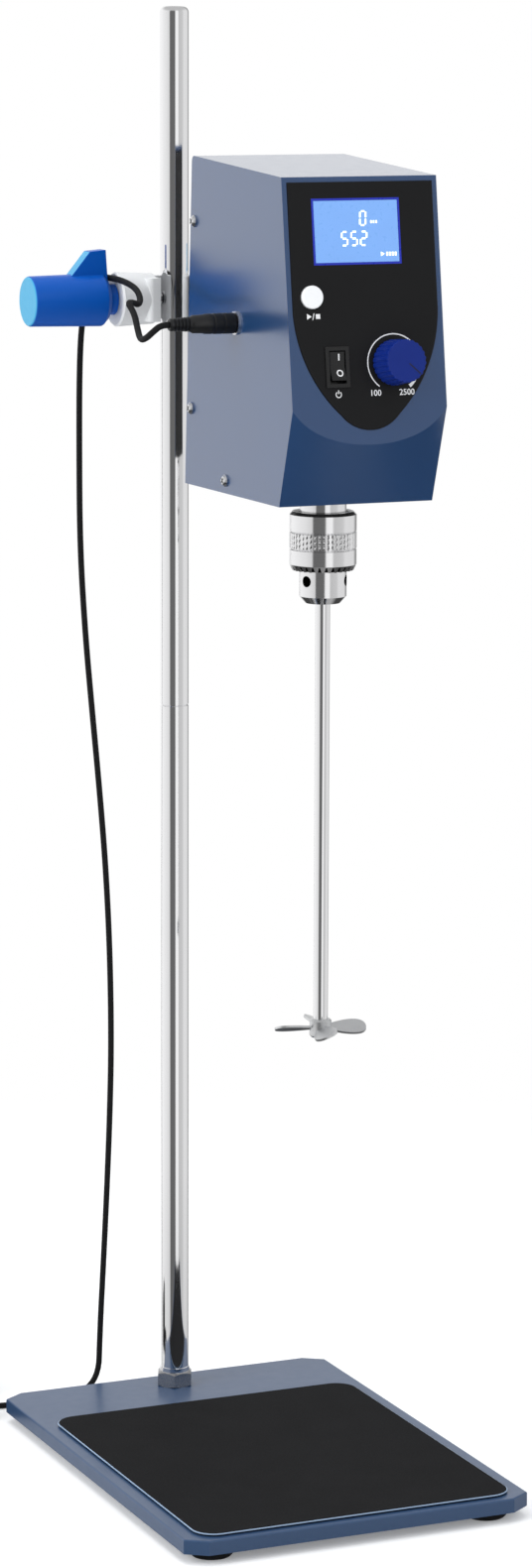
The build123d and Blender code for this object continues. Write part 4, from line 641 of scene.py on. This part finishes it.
def add_mat_bead():
    """Bead round the mat's edge, whose pale colour is a painted highlight of that edge."""
    reach = MAT_CORNER + BEAD_R / 2
    line = []
    for corner, (way_x, way_y) in enumerate([(1, 1), (-1, 1), (-1, -1), (1, -1)]):
        centre_x = MAT_AT[0] + way_x * (MAT_HALF[0] - MAT_CORNER)
        centre_y = MAT_AT[1] + way_y * (MAT_HALF[1] - MAT_CORNER)
        for step in range(MAT_CORNER_STEPS + 1):
            turn = radians(90 * (corner + step / MAT_CORNER_STEPS))
            line.append(Vector((centre_x + reach * cos(turn), centre_y + reach * sin(turn), BEAD_Z)) * MM)
    line.append(line[0].copy())
    bead = shown("mat_bead", tube_mesh(line, BEAD_R * MM, BEAD_SIDES), mat_edge_highlight, "stand")


add_mat_bead()

# ---------------------------------------------------------------- cords
CORD_D = 3.4
CORD_ORDER = 3                   # of the smooth line that a route's points control
CORD_FINE = 10                   # points of that line to each point of the route
LEAD_ROUTE = [                   # from the plug to the clamp
    (-60.4, -16.7, 636.1),
    (-64.8, -16.7, 636.1),
    (-67.6, -13.0, 632.6),
    (-68.0, -4.0, 628.4),
    (-66.5, 8.0, 626.5),
    (-62.5, 22.0, 631.5),
    (-59.0, 35.0, 638.6),
    (-58.6, 45.5, 643.6),
    (-53.0, 52.5, 643.2),
    (-46.5, 59.5, 641.2),
    (-41.6, 69.0, 644.0),
    (-38.9, 82.0, 648.4),
    (-38.9, 97.0, 651.0),
    (-39.0, 113.0, 652.0),
    (-39.0, 128.0, 652.0),
]
DROP_ROUTE = [                   # from the clamp down to the bench and out to the coil
    (-39.0, 128.0, 652.0),
    (-39.0, 140.0, 652.0),
    (-39.6, 151.5, 643.5),
    (-41.2, 157.8, 626.0),
    (-42.2, 159.2, 600.0),
    (-42.6, 159.0, 555.0),
    (-42.4, 159.0, 500.0),
    (-39.4, 159.2, 450.0),
    (-35.4, 159.0, 405.0),
    (-31.2, 158.8, 360.0),
    (-27.4, 159.0, 315.0),
    (-24.9, 159.0, 265.0),
    (-24.1, 159.0, 210.0),
    (-25.2, 159.2, 165.0),
    (-27.2, 159.0, 122.0),
    (-29.4, 159.0, 80.0),
    (-31.6, 159.0, 42.0),
    (-33.0, 159.0, 2.4),
    (-71.0, 156.8, 1.7),
    (-86.0, 156.0, 1.7),
    (-92.6, 156.0, 1.7),
    (-97.4, 157.2, 1.7),
    (-101.8, 160.4, 1.7),
]
COIL_AT = (-124.0, 152.0)
COIL_START = 37.0                # degrees round the coil where its first turn begins
COIL_STEPS = 16                  # points in each turn
COIL_TURNS = [                   # turns so far, radius, height
    (0.0, 22.2, 1.7),
    (0.8, 22.2, 1.7),
    (1.0, 18.8, 1.7),
    (1.8, 18.8, 1.7),
    (2.0, 15.4, 1.7),
    (2.75, 15.4, 1.7),
    (3.0, 17.1, 4.8),
    (3.8, 17.1, 4.8),
    (4.0, 20.5, 4.8),
    (4.7, 20.5, 4.9),
]
TAIL_ROUTE = [                   # from the coil into the wall supply
    (-111.5, 134.8, 5.2),
    (-106.6, 139.2, 6.0),
    (-104.2, 145.2, 7.4),
    (-104.4, 151.6, 9.0),
    (-106.8, 157.4, 10.3),
    (-109.4, 162.6, 11.0),
    (-110.6, 168.0, 11.0),
    (-110.6, 174.0, 11.0),
]


def coil_points():
    """Three turns side by side on the bench and two on top of them, as points of the cord."""
    points = []
    last = COIL_TURNS[-1][0]
    for step in range(int(last * COIL_STEPS) + 1):
        turns = step / COIL_STEPS
        for (low, low_r, low_z), (high, high_r, high_z) in zip(COIL_TURNS, COIL_TURNS[1:]):
            if low <= turns <= high:
                share = (turns - low) / (high - low)
                radius = low_r + share * (high_r - low_r)
                height = low_z + share * (high_z - low_z)
        turn = radians(COIL_START) + 2 * pi * turns
        points.append((COIL_AT[0] + radius * cos(turn), COIL_AT[1] + radius * sin(turn), height))
    return points


def spline_line(points):
    """Points along the smooth NURBS line that has the given control points, in metres."""
    curve = bpy.data.curves.new("line", "CURVE")
    curve.dimensions = "3D"
    spline = curve.splines.new("NURBS")
    spline.points.add(len(points) - 1)
    for point, place in zip(spline.points, points):
        point.co = [value * MM for value in place] + [1.0]
    spline.order_u = CORD_ORDER
    spline.use_endpoint_u = True
    curve.resolution_u = CORD_FINE
    holder = bpy.data.objects.new("line", curve)
    mesh = bpy.data.meshes.new_from_object(holder)
    line = [vertex.co.copy() for vertex in mesh.vertices]
    bpy.data.objects.remove(holder)
    return line


PLUG_FACE = Vector((-22.0, -16.7, 636.1)) * MM
PLUG_PROFILE = [                 # barrel with grip rings: distance out of the socket and radius
    (1.4, 4.4), (1.4, 5.0), (1.9, 5.45), (7.6, 5.5), (7.9, 5.3), (8.7, 5.3), (9.0, 5.5), (13.4, 5.45),
    (13.7, 5.15), (14.5, 5.15), (14.8, 5.4), (18.4, 5.3), (19.4, 4.9), (25.0, 4.75), (26.2, 4.2), (26.6, 3.9),
]
PLUG_RELIEF = (26.6, 38.4, 3.95, 3.3, 6)         # start, end, radius at each, and ribs
ADAPTER_FRONT = Vector((-110.6, 176.1, 11.0)) * MM
ADAPTER_COLLAR = [(-0.5, 4.6), (0.6, 4.6)]       # distance out of the wall supply's front and radius
ADAPTER_RELIEF = (0.6, 12.0, 4.0, 2.9, 5)
RIB_SPAN = (0.08, 0.56)          # parts of a relief's pitch that the rib and the groove take up
GROOVE_SPAN = (0.62, 0.98)
GROOVE_DEEP = 0.75
RELIEF_LIP = 0.4
RELIEF_CREASE = 30


def relief_profile(start, end, wide, narrow, ribs):
    """Tapered strain relief with a groove between its ribs."""
    profile = [(start, wide)]
    pitch = (end - start) / ribs
    for rib in range(ribs):
        low = start + rib * pitch
        outer = wide + (narrow - wide) * (rib + 0.5) / ribs
        profile += [(low + share * pitch, outer) for share in RIB_SPAN]
        if rib < ribs - 1:
            profile += [(low + share * pitch, outer - GROOVE_DEEP) for share in GROOVE_SPAN]
    return profile + [(end, narrow - RELIEF_LIP), (end, CORD_D / 2)]


def add_plug():
    """Barrel of the plug with the ribbed relief round its cord."""
    profile = PLUG_PROFILE + relief_profile(*PLUG_RELIEF)
    barrel = shown("plug_moulding", lathe(PLUG_FACE, (-1, 0, 0), profile), black_plastic, "head")
    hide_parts("dc_plug")
    crease(barrel, RELIEF_CREASE)
    return barrel


def add_adapter_relief():
    """Collar and ribbed relief where the cord leaves the wall supply."""
    profile = ADAPTER_COLLAR + relief_profile(*ADAPTER_RELIEF)
    relief = shown("adapter_relief", lathe(ADAPTER_FRONT, (0, -1, 0), profile), black_plastic, "stand")
    crease(relief, RELIEF_CREASE)
    return relief


TIE_AT = -143.0                  # X of the bundle's middle under the tie
TIE_HALF = (5.9, 3.55)           # half width and half height of the loop
TIE_CORNER = 2.6
TIE_CORNER_STEPS = 4
TIE_W = 5.0
TIE_T = 0.7
TIE_CREASE = 50


def add_tie():
    """Strap round the bundle of cord: a closed loop with rounded corners."""
    outline = []                 # middle of a corner's arc and the way out of it, for each step
    for quarter in range(4):
        centre_x = (TIE_HALF[0] - TIE_CORNER) * (1 if quarter in (0, 3) else -1)
        centre_z = (TIE_HALF[1] - TIE_CORNER) * (1 if quarter in (0, 1) else -1)
        for step in range(TIE_CORNER_STEPS + 1):
            turn = radians(90 * (quarter + step / TIE_CORNER_STEPS))
            outline.append((Vector((centre_x, 0, centre_z)), Vector((cos(turn), 0, sin(turn)))))
    middle = Vector((TIE_AT, COIL_AT[1], TIE_HALF[1]))
    verts = []
    for centre, out in outline:
        for reach in (TIE_CORNER, TIE_CORNER - TIE_T):
            for side in (-1, 1):
                across = Vector((0, side * TIE_W / 2, 0))
                verts.append((middle + centre + out * reach + across) * MM)
    faces = []
    for step in range(len(outline)):
        a = 4 * step
        b = 4 * ((step + 1) % len(outline))
        faces += [(a, a + 1, b + 1, b), (a + 2, b + 2, b + 3, a + 3)]
        faces += [(a, b, b + 2, a + 2), (a + 1, a + 3, b + 3, b + 1)]
    tie = shown("coil_strap", mesh_of(verts, faces, smooth=True), black_plastic, "stand")
    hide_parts("cord_tie")
    crease(tie, TIE_CREASE)
    return tie


def add_cords():
    """Lead from the plug to the clamp, and the cord from there to the wall supply."""
    plug = add_plug()
    relief = add_adapter_relief()
    tie = add_tie()
    lead_line = spline_line(list(reversed(LEAD_ROUTE)))
    lead = shown("cord_lead", tube_mesh(lead_line, CORD_D / 2 * MM), cord_rubber)
    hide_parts("power_cord_lead")
    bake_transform(lead)
    drop_line = spline_line(DROP_ROUTE + coil_points() + TAIL_ROUTE)
    drop = shown("cord_drop", tube_mesh(drop_line, CORD_D / 2 * MM), cord_rubber)
    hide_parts("power_cord_drop", "cord_coil")
    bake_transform(drop)


add_cords()

# ---------------------------------------------------------------- prints and parts on the panel
PANEL_AT = Vector((22.0, -90.4, 595.6)) * MM      # middle of the head's front, at its kink
PANEL_TILT = atan2(15.8, 119.0)  # the front leans back this far over this height
PANEL_OUT = Vector((0, -cos(PANEL_TILT), sin(PANEL_TILT)))
PANEL_UP = Vector((0, sin(PANEL_TILT), cos(PANEL_TILT)))
PRINT_H = 0.63                   # prints lie this far out of the head's front
DROP_FROM = 30                   # height from which prints are dropped onto a raised part
DROP_GAP = 0.03                  # and how far above it they stay


def on_panel(x, s, h=PRINT_H):
    """Place on the control panel: x from its middle, s up its slope and h out of it, in millimetres."""
    return PANEL_AT + (Vector((x, 0, 0)) + PANEL_UP * s + PANEL_OUT * h) * MM


def surface_of(node):
    """Function that drops a panel place onto a node's outer surface."""
    mesh = nodes[node].data
    corners = [vertex.co for vertex in mesh.vertices]
    tree = BVHTree.FromPolygons(corners, [tuple(polygon.vertices) for polygon in mesh.polygons])

    def dropped(x, s):
        hit = tree.ray_cast(on_panel(x, s, DROP_FROM), -PANEL_OUT)[0]
        return hit + PANEL_OUT * DROP_GAP * MM if hit else on_panel(x, s)

    return dropped


def print_mesh(outlines, place=on_panel):
    """Flat print from closed outlines of (x, s) points."""
    verts = []
    faces = []
    for outline in outlines:
        faces.append(tuple(range(len(verts), len(verts) + len(outline))))
        verts += [place(x, s) for x, s in outline]
    return mesh_of(verts, faces)


def band(centre, radius, widths, start, end, steps=40):
    """Outlines of a round band between two angles in degrees, with its widths at the start and end."""
    first, last = widths
    outlines = []
    for step in range(steps):
        corners = []
        for share in (step / steps, (step + 1) / steps):
            turn = radians(start + (end - start) * share)
            half = (first + (last - first) * share) / 2
            for reach in (radius - half, radius + half):
                corners.append((centre[0] + reach * cos(turn), centre[1] + reach * sin(turn)))
        outlines.append([corners[0], corners[1], corners[3], corners[2]])
    return outlines


def bar(x, s, width, height, slant=0.0):
    """Outline of an upright bar round (x, s), leaning by slant of its height."""
    lean = slant * height / 2
    return [
        (x - width / 2 - lean, s - height / 2),
        (x + width / 2 - lean, s - height / 2),
        (x + width / 2 + lean, s + height / 2),
        (x - width / 2 + lean, s + height / 2),
    ]


NUMERAL_BOLD = 0.012             # thickening of a number's strokes, as a share of its height
NUMERAL_FINE = 4


def add_numeral(name, text, x, s, height):
    """Printed number, its middle at (x, s)."""
    curve = bpy.data.curves.new(name, "FONT")
    curve.body = text
    curve.align_x = "CENTER"
    curve.align_y = "CENTER"
    curve.size = height
    curve.offset = NUMERAL_BOLD * height
    curve.resolution_u = NUMERAL_FINE
    holder = bpy.data.objects.new(name, curve)
    mesh = bpy.data.meshes.new_from_object(holder)
    bpy.data.objects.remove(holder)
    for vertex in mesh.vertices:
        vertex.co = on_panel(x + vertex.co.x, s + vertex.co.y)
    piece = shown(name, mesh, print_white, "head")


SEGMENTS = {"0": "abcdef", "2": "abged", "5": "afgcd"}    # a at the top and on round to f, g in the middle
SEGMENT_W = 0.95
FLAT_CUT = 1.25                  # segment widths by which a flat and an upright segment fall short
TALL_CUT = 0.75
DIGIT_SLANT = 0.06


def digit(text, x, s, width, height):
    """Outlines of a seven-segment digit with its middle at (x, s)."""
    half = height / 2
    flat = width - FLAT_CUT * SEGMENT_W
    tall = half - TALL_CUT * SEGMENT_W
    places = {
        "a": (0, half, flat, SEGMENT_W),
        "g": (0, 0, flat, SEGMENT_W),
        "d": (0, -half, flat, SEGMENT_W),
        "f": (-width / 2, half / 2, SEGMENT_W, tall),
        "b": (width / 2, half / 2, SEGMENT_W, tall),
        "e": (-width / 2, -half / 2, SEGMENT_W, tall),
        "c": (width / 2, -half / 2, SEGMENT_W, tall),
    }
    outlines = []
    for segment in SEGMENTS[text]:
        across, up, wide, high = places[segment]
        outlines.append(bar(x + across + DIGIT_SLANT * up, s + up, wide, high, DIGIT_SLANT))
    return outlines


WINDOW_AT = (-3.3, 91.7)         # middle, width and height of the display's window
WINDOW_W = 47.6
WINDOW_H = 32.0
WINDOW_RIM = 1.1
TOP_DIGIT = ("0", 0.6, 98.4, 3.2, 7.2)           # digit, middle, width and height
LOW_DIGITS = "552"
LOW_DIGITS_AT = (-10.2, 88.0)    # middle of the first of them
LOW_DIGIT_STEP = 5.4
LOW_DIGIT_SIZE = (3.3, 7.0)
UNIT_MARKS = (3, 5.2, 96.5, 1.5, 0.9, 1.5)       # how many, first middle, step, width and height
LEVEL_MARKS = (4, 13.6, 79.8, 1.6, 1.1, 2.0)
ARROW = [(10.0, 78.6), (12.2, 79.8), (10.0, 81.0)]


def row_of_marks(count, x, s, step, width, height):
    """Outlines of short bars side by side."""
    return [bar(x + step * mark, s, width, height) for mark in range(count)]


def add_display():
    """Lit edge of the screen, two rows of digits and bare marks beside them."""
    x, s = WINDOW_AT
    aside = (WINDOW_W + WINDOW_RIM) / 2
    above = (WINDOW_H + WINDOW_RIM) / 2
    rims = [bar(x, s + way * above, WINDOW_W + 2 * WINDOW_RIM, WINDOW_RIM) for way in (1, -1)]
    rims += [bar(x + way * aside, s, WINDOW_RIM, WINDOW_H) for way in (-1, 1)]
    edge = shown("display_edge", print_mesh(rims), screen_edge, "head")
    digits = digit(*TOP_DIGIT)
    for place, text in enumerate(LOW_DIGITS):
        digits += digit(text, LOW_DIGITS_AT[0] + LOW_DIGIT_STEP * place, LOW_DIGITS_AT[1], *LOW_DIGIT_SIZE)
    digits += row_of_marks(*UNIT_MARKS)
    digits += [ARROW]
    digits += row_of_marks(*LEVEL_MARKS)
    lit = shown("display_digits", print_mesh(digits), digits_lit, "head")


DIAL_AT = (14.4, 23.5)
SCALE_R = 14.9
SCALE_TURNS = (234, -28, -56)    # where the scale starts, begins to widen and ends, in degrees
SCALE_WIDTHS = (0.62, 1.9)
SCALE_END_STEPS = 12
NUMERALS = [                     # name, number and middle
    ("scale_low", "100", 3.2, 8.0),
    ("scale_high", "2500", 21.1, 8.0),
]
NUMERAL_H = 4.4
POINTER_TURN = radians(-42)
POINTER_SPAN = (2.0, 10.4)       # distances from the dial's middle
POINTER_HALF_W = 0.38
POINTER_STEPS = 12


def add_scale():
    """Printed scale round the dial, its end numbers, and the line on the dial."""
    start, bend, end = SCALE_TURNS
    thin, wide = SCALE_WIDTHS
    outlines = band(DIAL_AT, SCALE_R, (thin, thin), start, bend)
    outlines += band(DIAL_AT, SCALE_R, (thin, wide), bend, end, SCALE_END_STEPS)
    scale = shown("speed_scale", print_mesh(outlines), print_white, "head")
    for name, number, x, s in NUMERALS:
        add_numeral(name, number, x, s, NUMERAL_H)
    out = Vector((cos(POINTER_TURN), sin(POINTER_TURN)))
    side = Vector((-out.y, out.x)) * POINTER_HALF_W
    first, last = POINTER_SPAN
    line = []
    for step in range(POINTER_STEPS):
        shares = [(step + extra) / POINTER_STEPS for extra in (0, 1)]
        near, far = [Vector(DIAL_AT) + out * (first + (last - first) * share) for share in shares]
        line.append([near - side, far - side, far + side, near + side])
    pointer = shown("dial_line", print_mesh(line, surface_of("speed_knob")), pointer_dark, "dial")


SWITCH_I = (-16.9, 27.2, 0.75, 3.4)              # middle, width and height of the bar
SWITCH_O_AT = (-17.0, 18.9)      # middle of the ring
SIGN_R = 1.5                     # radius of the ring of the switch's O and of the power sign
RING_W = 0.62
RING_STEPS = 32
RUN_ARROW = [(-33.6, 46.9), (-30.9, 48.4), (-33.6, 49.9)]
RUN_SLASH = (-30.0, 48.4, 0.45, 3.4, 0.25)       # middle, width, height and slant
STOP_SQUARE = (-27.4, 48.4, 2.5, 2.5)
POWER_AT = (-17.8, 7.9)
POWER_TURNS = (125, 415)         # where the open ring starts and ends, in degrees
POWER_W = 0.5
POWER_STEPS = 28
POWER_BAR = (-17.8, 9.2, 0.5, 1.9)


def add_switch_marks():
    """I and O on the rocker, and plain signs under the switch and the button."""
    marks = [bar(*SWITCH_I)] + band(SWITCH_O_AT, SIGN_R, (RING_W, RING_W), 0, 360, RING_STEPS)
    signs = shown("rocker_marks", print_mesh(marks, surface_of("switch_rocker")), print_white, "rocker")
    run = [RUN_ARROW, bar(*RUN_SLASH), bar(*STOP_SQUARE)]
    power = band(POWER_AT, SIGN_R, (POWER_W, POWER_W), *POWER_TURNS, POWER_STEPS) + [bar(*POWER_BAR)]
    panel_signs = shown("panel_signs", print_mesh(run + power), print_white, "head")


add_display()
add_scale()
add_switch_marks()

# ---------------------------------------------------------------- studio
WHITE = (1.0, 1.0, 1.0, 1.0)
FLOOR_HALF = 9.0
FLOOR_TONES = ((0.88, 0.88, 0.88, 1), (0.90, 0.90, 0.90, 1))
FLOOR_GLOW = 0.22                # white that the camera alone sees on the floor, over its lit tone
FLOOR_FADE = (0.45, 0.9)         # distances between which the floor gives way to the white beyond
SOFT_LIGHT = (0.93, 0.96, 1.0, 1)
SOFT_STRENGTH = 0.62
GLOSS_CAPS = [                   # heights of a unit ray between which gloss turns to this brightness
    (0.35, 0.7, 0.55),
    (-0.25, -0.5, 0.06),
    (-0.8, -0.92, 0.42),
]
GLOSS_RING = [                   # direction round the object from the camera, degrees, and brightness
    (-180, 1.0), (-152, 1.0), (-120, 1.0), (-60, 0.84), (-38, 0.72), (-33, 0.14), (6, 0.15), (12, 0.95),
    (30, 1.0), (38, 0.58), (70, 0.64), (82, 0.80), (128, 0.78), (142, 0.34), (162, 0.34), (171, 1.0),
    (180, 1.0),
]
LAMPS = [                        # name, place, what it is aimed at, width and power
    ("side_light", (-2.4, -0.4, 1.5), (0, 0, 0.5), 1.6, 34),
    ("front_light", (0.4, -2.4, 1.9), (0, 0, 0.35), 1.8, 16),
    ("top_light", (-0.3, 0.3, 2.6), (0, 0, 0.3), 2.0, 26),
]


def add_floor():
    """Pale floor that keeps the shadows near the object and gives way to white further out.

    Reflections look through it to the studio."""
    corners = [(x * FLOOR_HALF, y * FLOOR_HALF, 0) for x, y in ((-1, -1), (1, -1), (1, 1), (-1, 1))]
    look = Finish("floor_white")
    look.colour(look.noise(2), *FLOOR_TONES)
    look.set(Roughness=0.9, Specular_IOR_Level=0.1)
    rays = look.nodes.new("ShaderNodeLightPath")
    glow = look.nodes.new("ShaderNodeEmission")
    look.link(look.math("MULTIPLY", rays.outputs["Is Camera Ray"], FLOOR_GLOW), glow.inputs["Strength"])
    near = look.nodes.new("ShaderNodeAddShader")
    look.link(look.shader.outputs[0], near.inputs[0])
    look.link(glow.outputs[0], near.inputs[1])
    reach = look.nodes.new("ShaderNodeVectorMath")
    reach.operation = "LENGTH"
    look.link(look.place, reach.inputs[0])
    fade = look.nodes.new("ShaderNodeMapRange")
    fade.interpolation_type = "SMOOTHSTEP"
    fade.inputs["From Min"].default_value = FLOOR_FADE[0]
    fade.inputs["From Max"].default_value = FLOOR_FADE[1]
    look.link(reach.outputs["Value"], fade.inputs["Value"])
    clear = look.nodes.new("ShaderNodeBsdfTransparent")
    both = look.nodes.new("ShaderNodeMixShader")
    faded = look.math("MULTIPLY", rays.outputs["Is Camera Ray"], fade.outputs["Result"])
    look.link(look.math("MAXIMUM", faded, rays.outputs["Is Glossy Ray"]), both.inputs["Fac"])
    look.link(near.outputs[0], both.inputs[1])
    look.link(clear.outputs[0], both.inputs[2])
    look.link(both.outputs[0], look.nodes["Material Output"].inputs["Surface"])
    shown("floor", mesh_of(corners, [(0, 1, 2, 3)]), look.material)


def mixed(tree, factor, first, second):
    """Output of a mix from the colour of a socket to a fixed colour."""
    mix = tree.nodes.new("ShaderNodeMix")
    mix.data_type = "RGBA"
    mix.inputs[COLOUR_B].default_value = second
    tree.links.new(factor, mix.inputs["Factor"])
    tree.links.new(first, mix.inputs[COLOUR_A])
    return mix.outputs[COLOUR_OUT]


def larger(tree, first, second):
    """Output of a node that gives the larger of two values."""
    step = tree.nodes.new("ShaderNodeMath")
    step.operation = "MAXIMUM"
    tree.links.new(first, step.inputs[0])
    tree.links.new(second, step.inputs[1])
    return step.outputs[0]


def gloss_studio(tree):
    """Colour that reflections see: a ring of bright and dark stretches, with caps above and below."""
    new = tree.nodes.new
    link = tree.links.new
    place = new("ShaderNodeTexCoord")
    mapping = new("ShaderNodeMapping")
    mapping.vector_type = "POINT"
    mapping.inputs["Rotation"].default_value = (0, 0, CAMERA_TURN + pi / 2)
    link(place.outputs["Generated"], mapping.inputs["Vector"])
    parts = new("ShaderNodeSeparateXYZ")
    link(mapping.outputs["Vector"], parts.inputs["Vector"])
    angle = new("ShaderNodeMath")
    angle.operation = "ARCTAN2"
    link(parts.outputs["Y"], angle.inputs[0])
    link(parts.outputs["X"], angle.inputs[1])
    share = new("ShaderNodeMapRange")
    share.inputs["From Min"].default_value = -pi
    share.inputs["From Max"].default_value = pi
    link(angle.outputs[0], share.inputs["Value"])
    ring = new("ShaderNodeValToRGB")
    stops = ring.color_ramp.elements
    while len(stops) > 1:
        stops.remove(stops[0])
    for count, (degrees, light) in enumerate(GLOSS_RING):
        stop = stops[0] if count == 0 else stops.new(1.0)
        stop.position = (degrees + 180) / 360
        stop.color = (light, light, light, 1)
    link(share.outputs["Result"], ring.inputs["Fac"])
    sight = ring.outputs["Color"]
    for start, end, tone in GLOSS_CAPS:
        reach = new("ShaderNodeMapRange")
        reach.inputs["From Min"].default_value = start
        reach.inputs["From Max"].default_value = end
        link(parts.outputs["Z"], reach.inputs["Value"])
        sight = mixed(tree, reach.outputs["Result"], sight, (tone, tone, tone, 1))
    return sight


def add_world():
    """Soft pale light; the camera sees plain white, and reflections see the studio's ring."""
    world = bpy.data.worlds.new("studio")
    bpy.context.scene.world = world
    world.use_nodes = True
    tree = world.node_tree
    for node in list(tree.nodes):
        tree.nodes.remove(node)
    link = tree.links.new
    rays = tree.nodes.new("ShaderNodeLightPath")
    bright = tree.nodes.new("ShaderNodeBackground")
    link(mixed(tree, rays.outputs["Is Camera Ray"], gloss_studio(tree), WHITE), bright.inputs["Color"])
    soft = tree.nodes.new("ShaderNodeBackground")
    soft.inputs["Color"].default_value = SOFT_LIGHT
    soft.inputs["Strength"].default_value = SOFT_STRENGTH
    direct = larger(tree, rays.outputs["Is Camera Ray"], rays.outputs["Is Glossy Ray"])
    blend = tree.nodes.new("ShaderNodeMixShader")
    link(larger(tree, direct, rays.outputs["Is Transmission Ray"]), blend.inputs["Fac"])
    link(soft.outputs[0], blend.inputs[1])
    link(bright.outputs[0], blend.inputs[2])
    output = tree.nodes.new("ShaderNodeOutputWorld")
    link(blend.outputs[0], output.inputs["Surface"])


def add_lamp(name, at, aim, size, power):
    """Round soft lamp that doesn't show in reflections."""
    data = bpy.data.lights.new(name, "AREA")
    data.shape = "DISK"
    data.size = size
    data.energy = power
    lamp = bpy.data.objects.new(name, data)
    bpy.context.scene.collection.objects.link(lamp)
    lamp.location = at
    lamp.visible_glossy = False
    lamp.rotation_euler = (Vector(aim) - Vector(at)).to_track_quat("-Z", "Y").to_euler()


add_floor()
add_world()
for lamp_values in LAMPS:
    add_lamp(*lamp_values)
bpy.context.scene.view_settings.view_transform = "Standard"
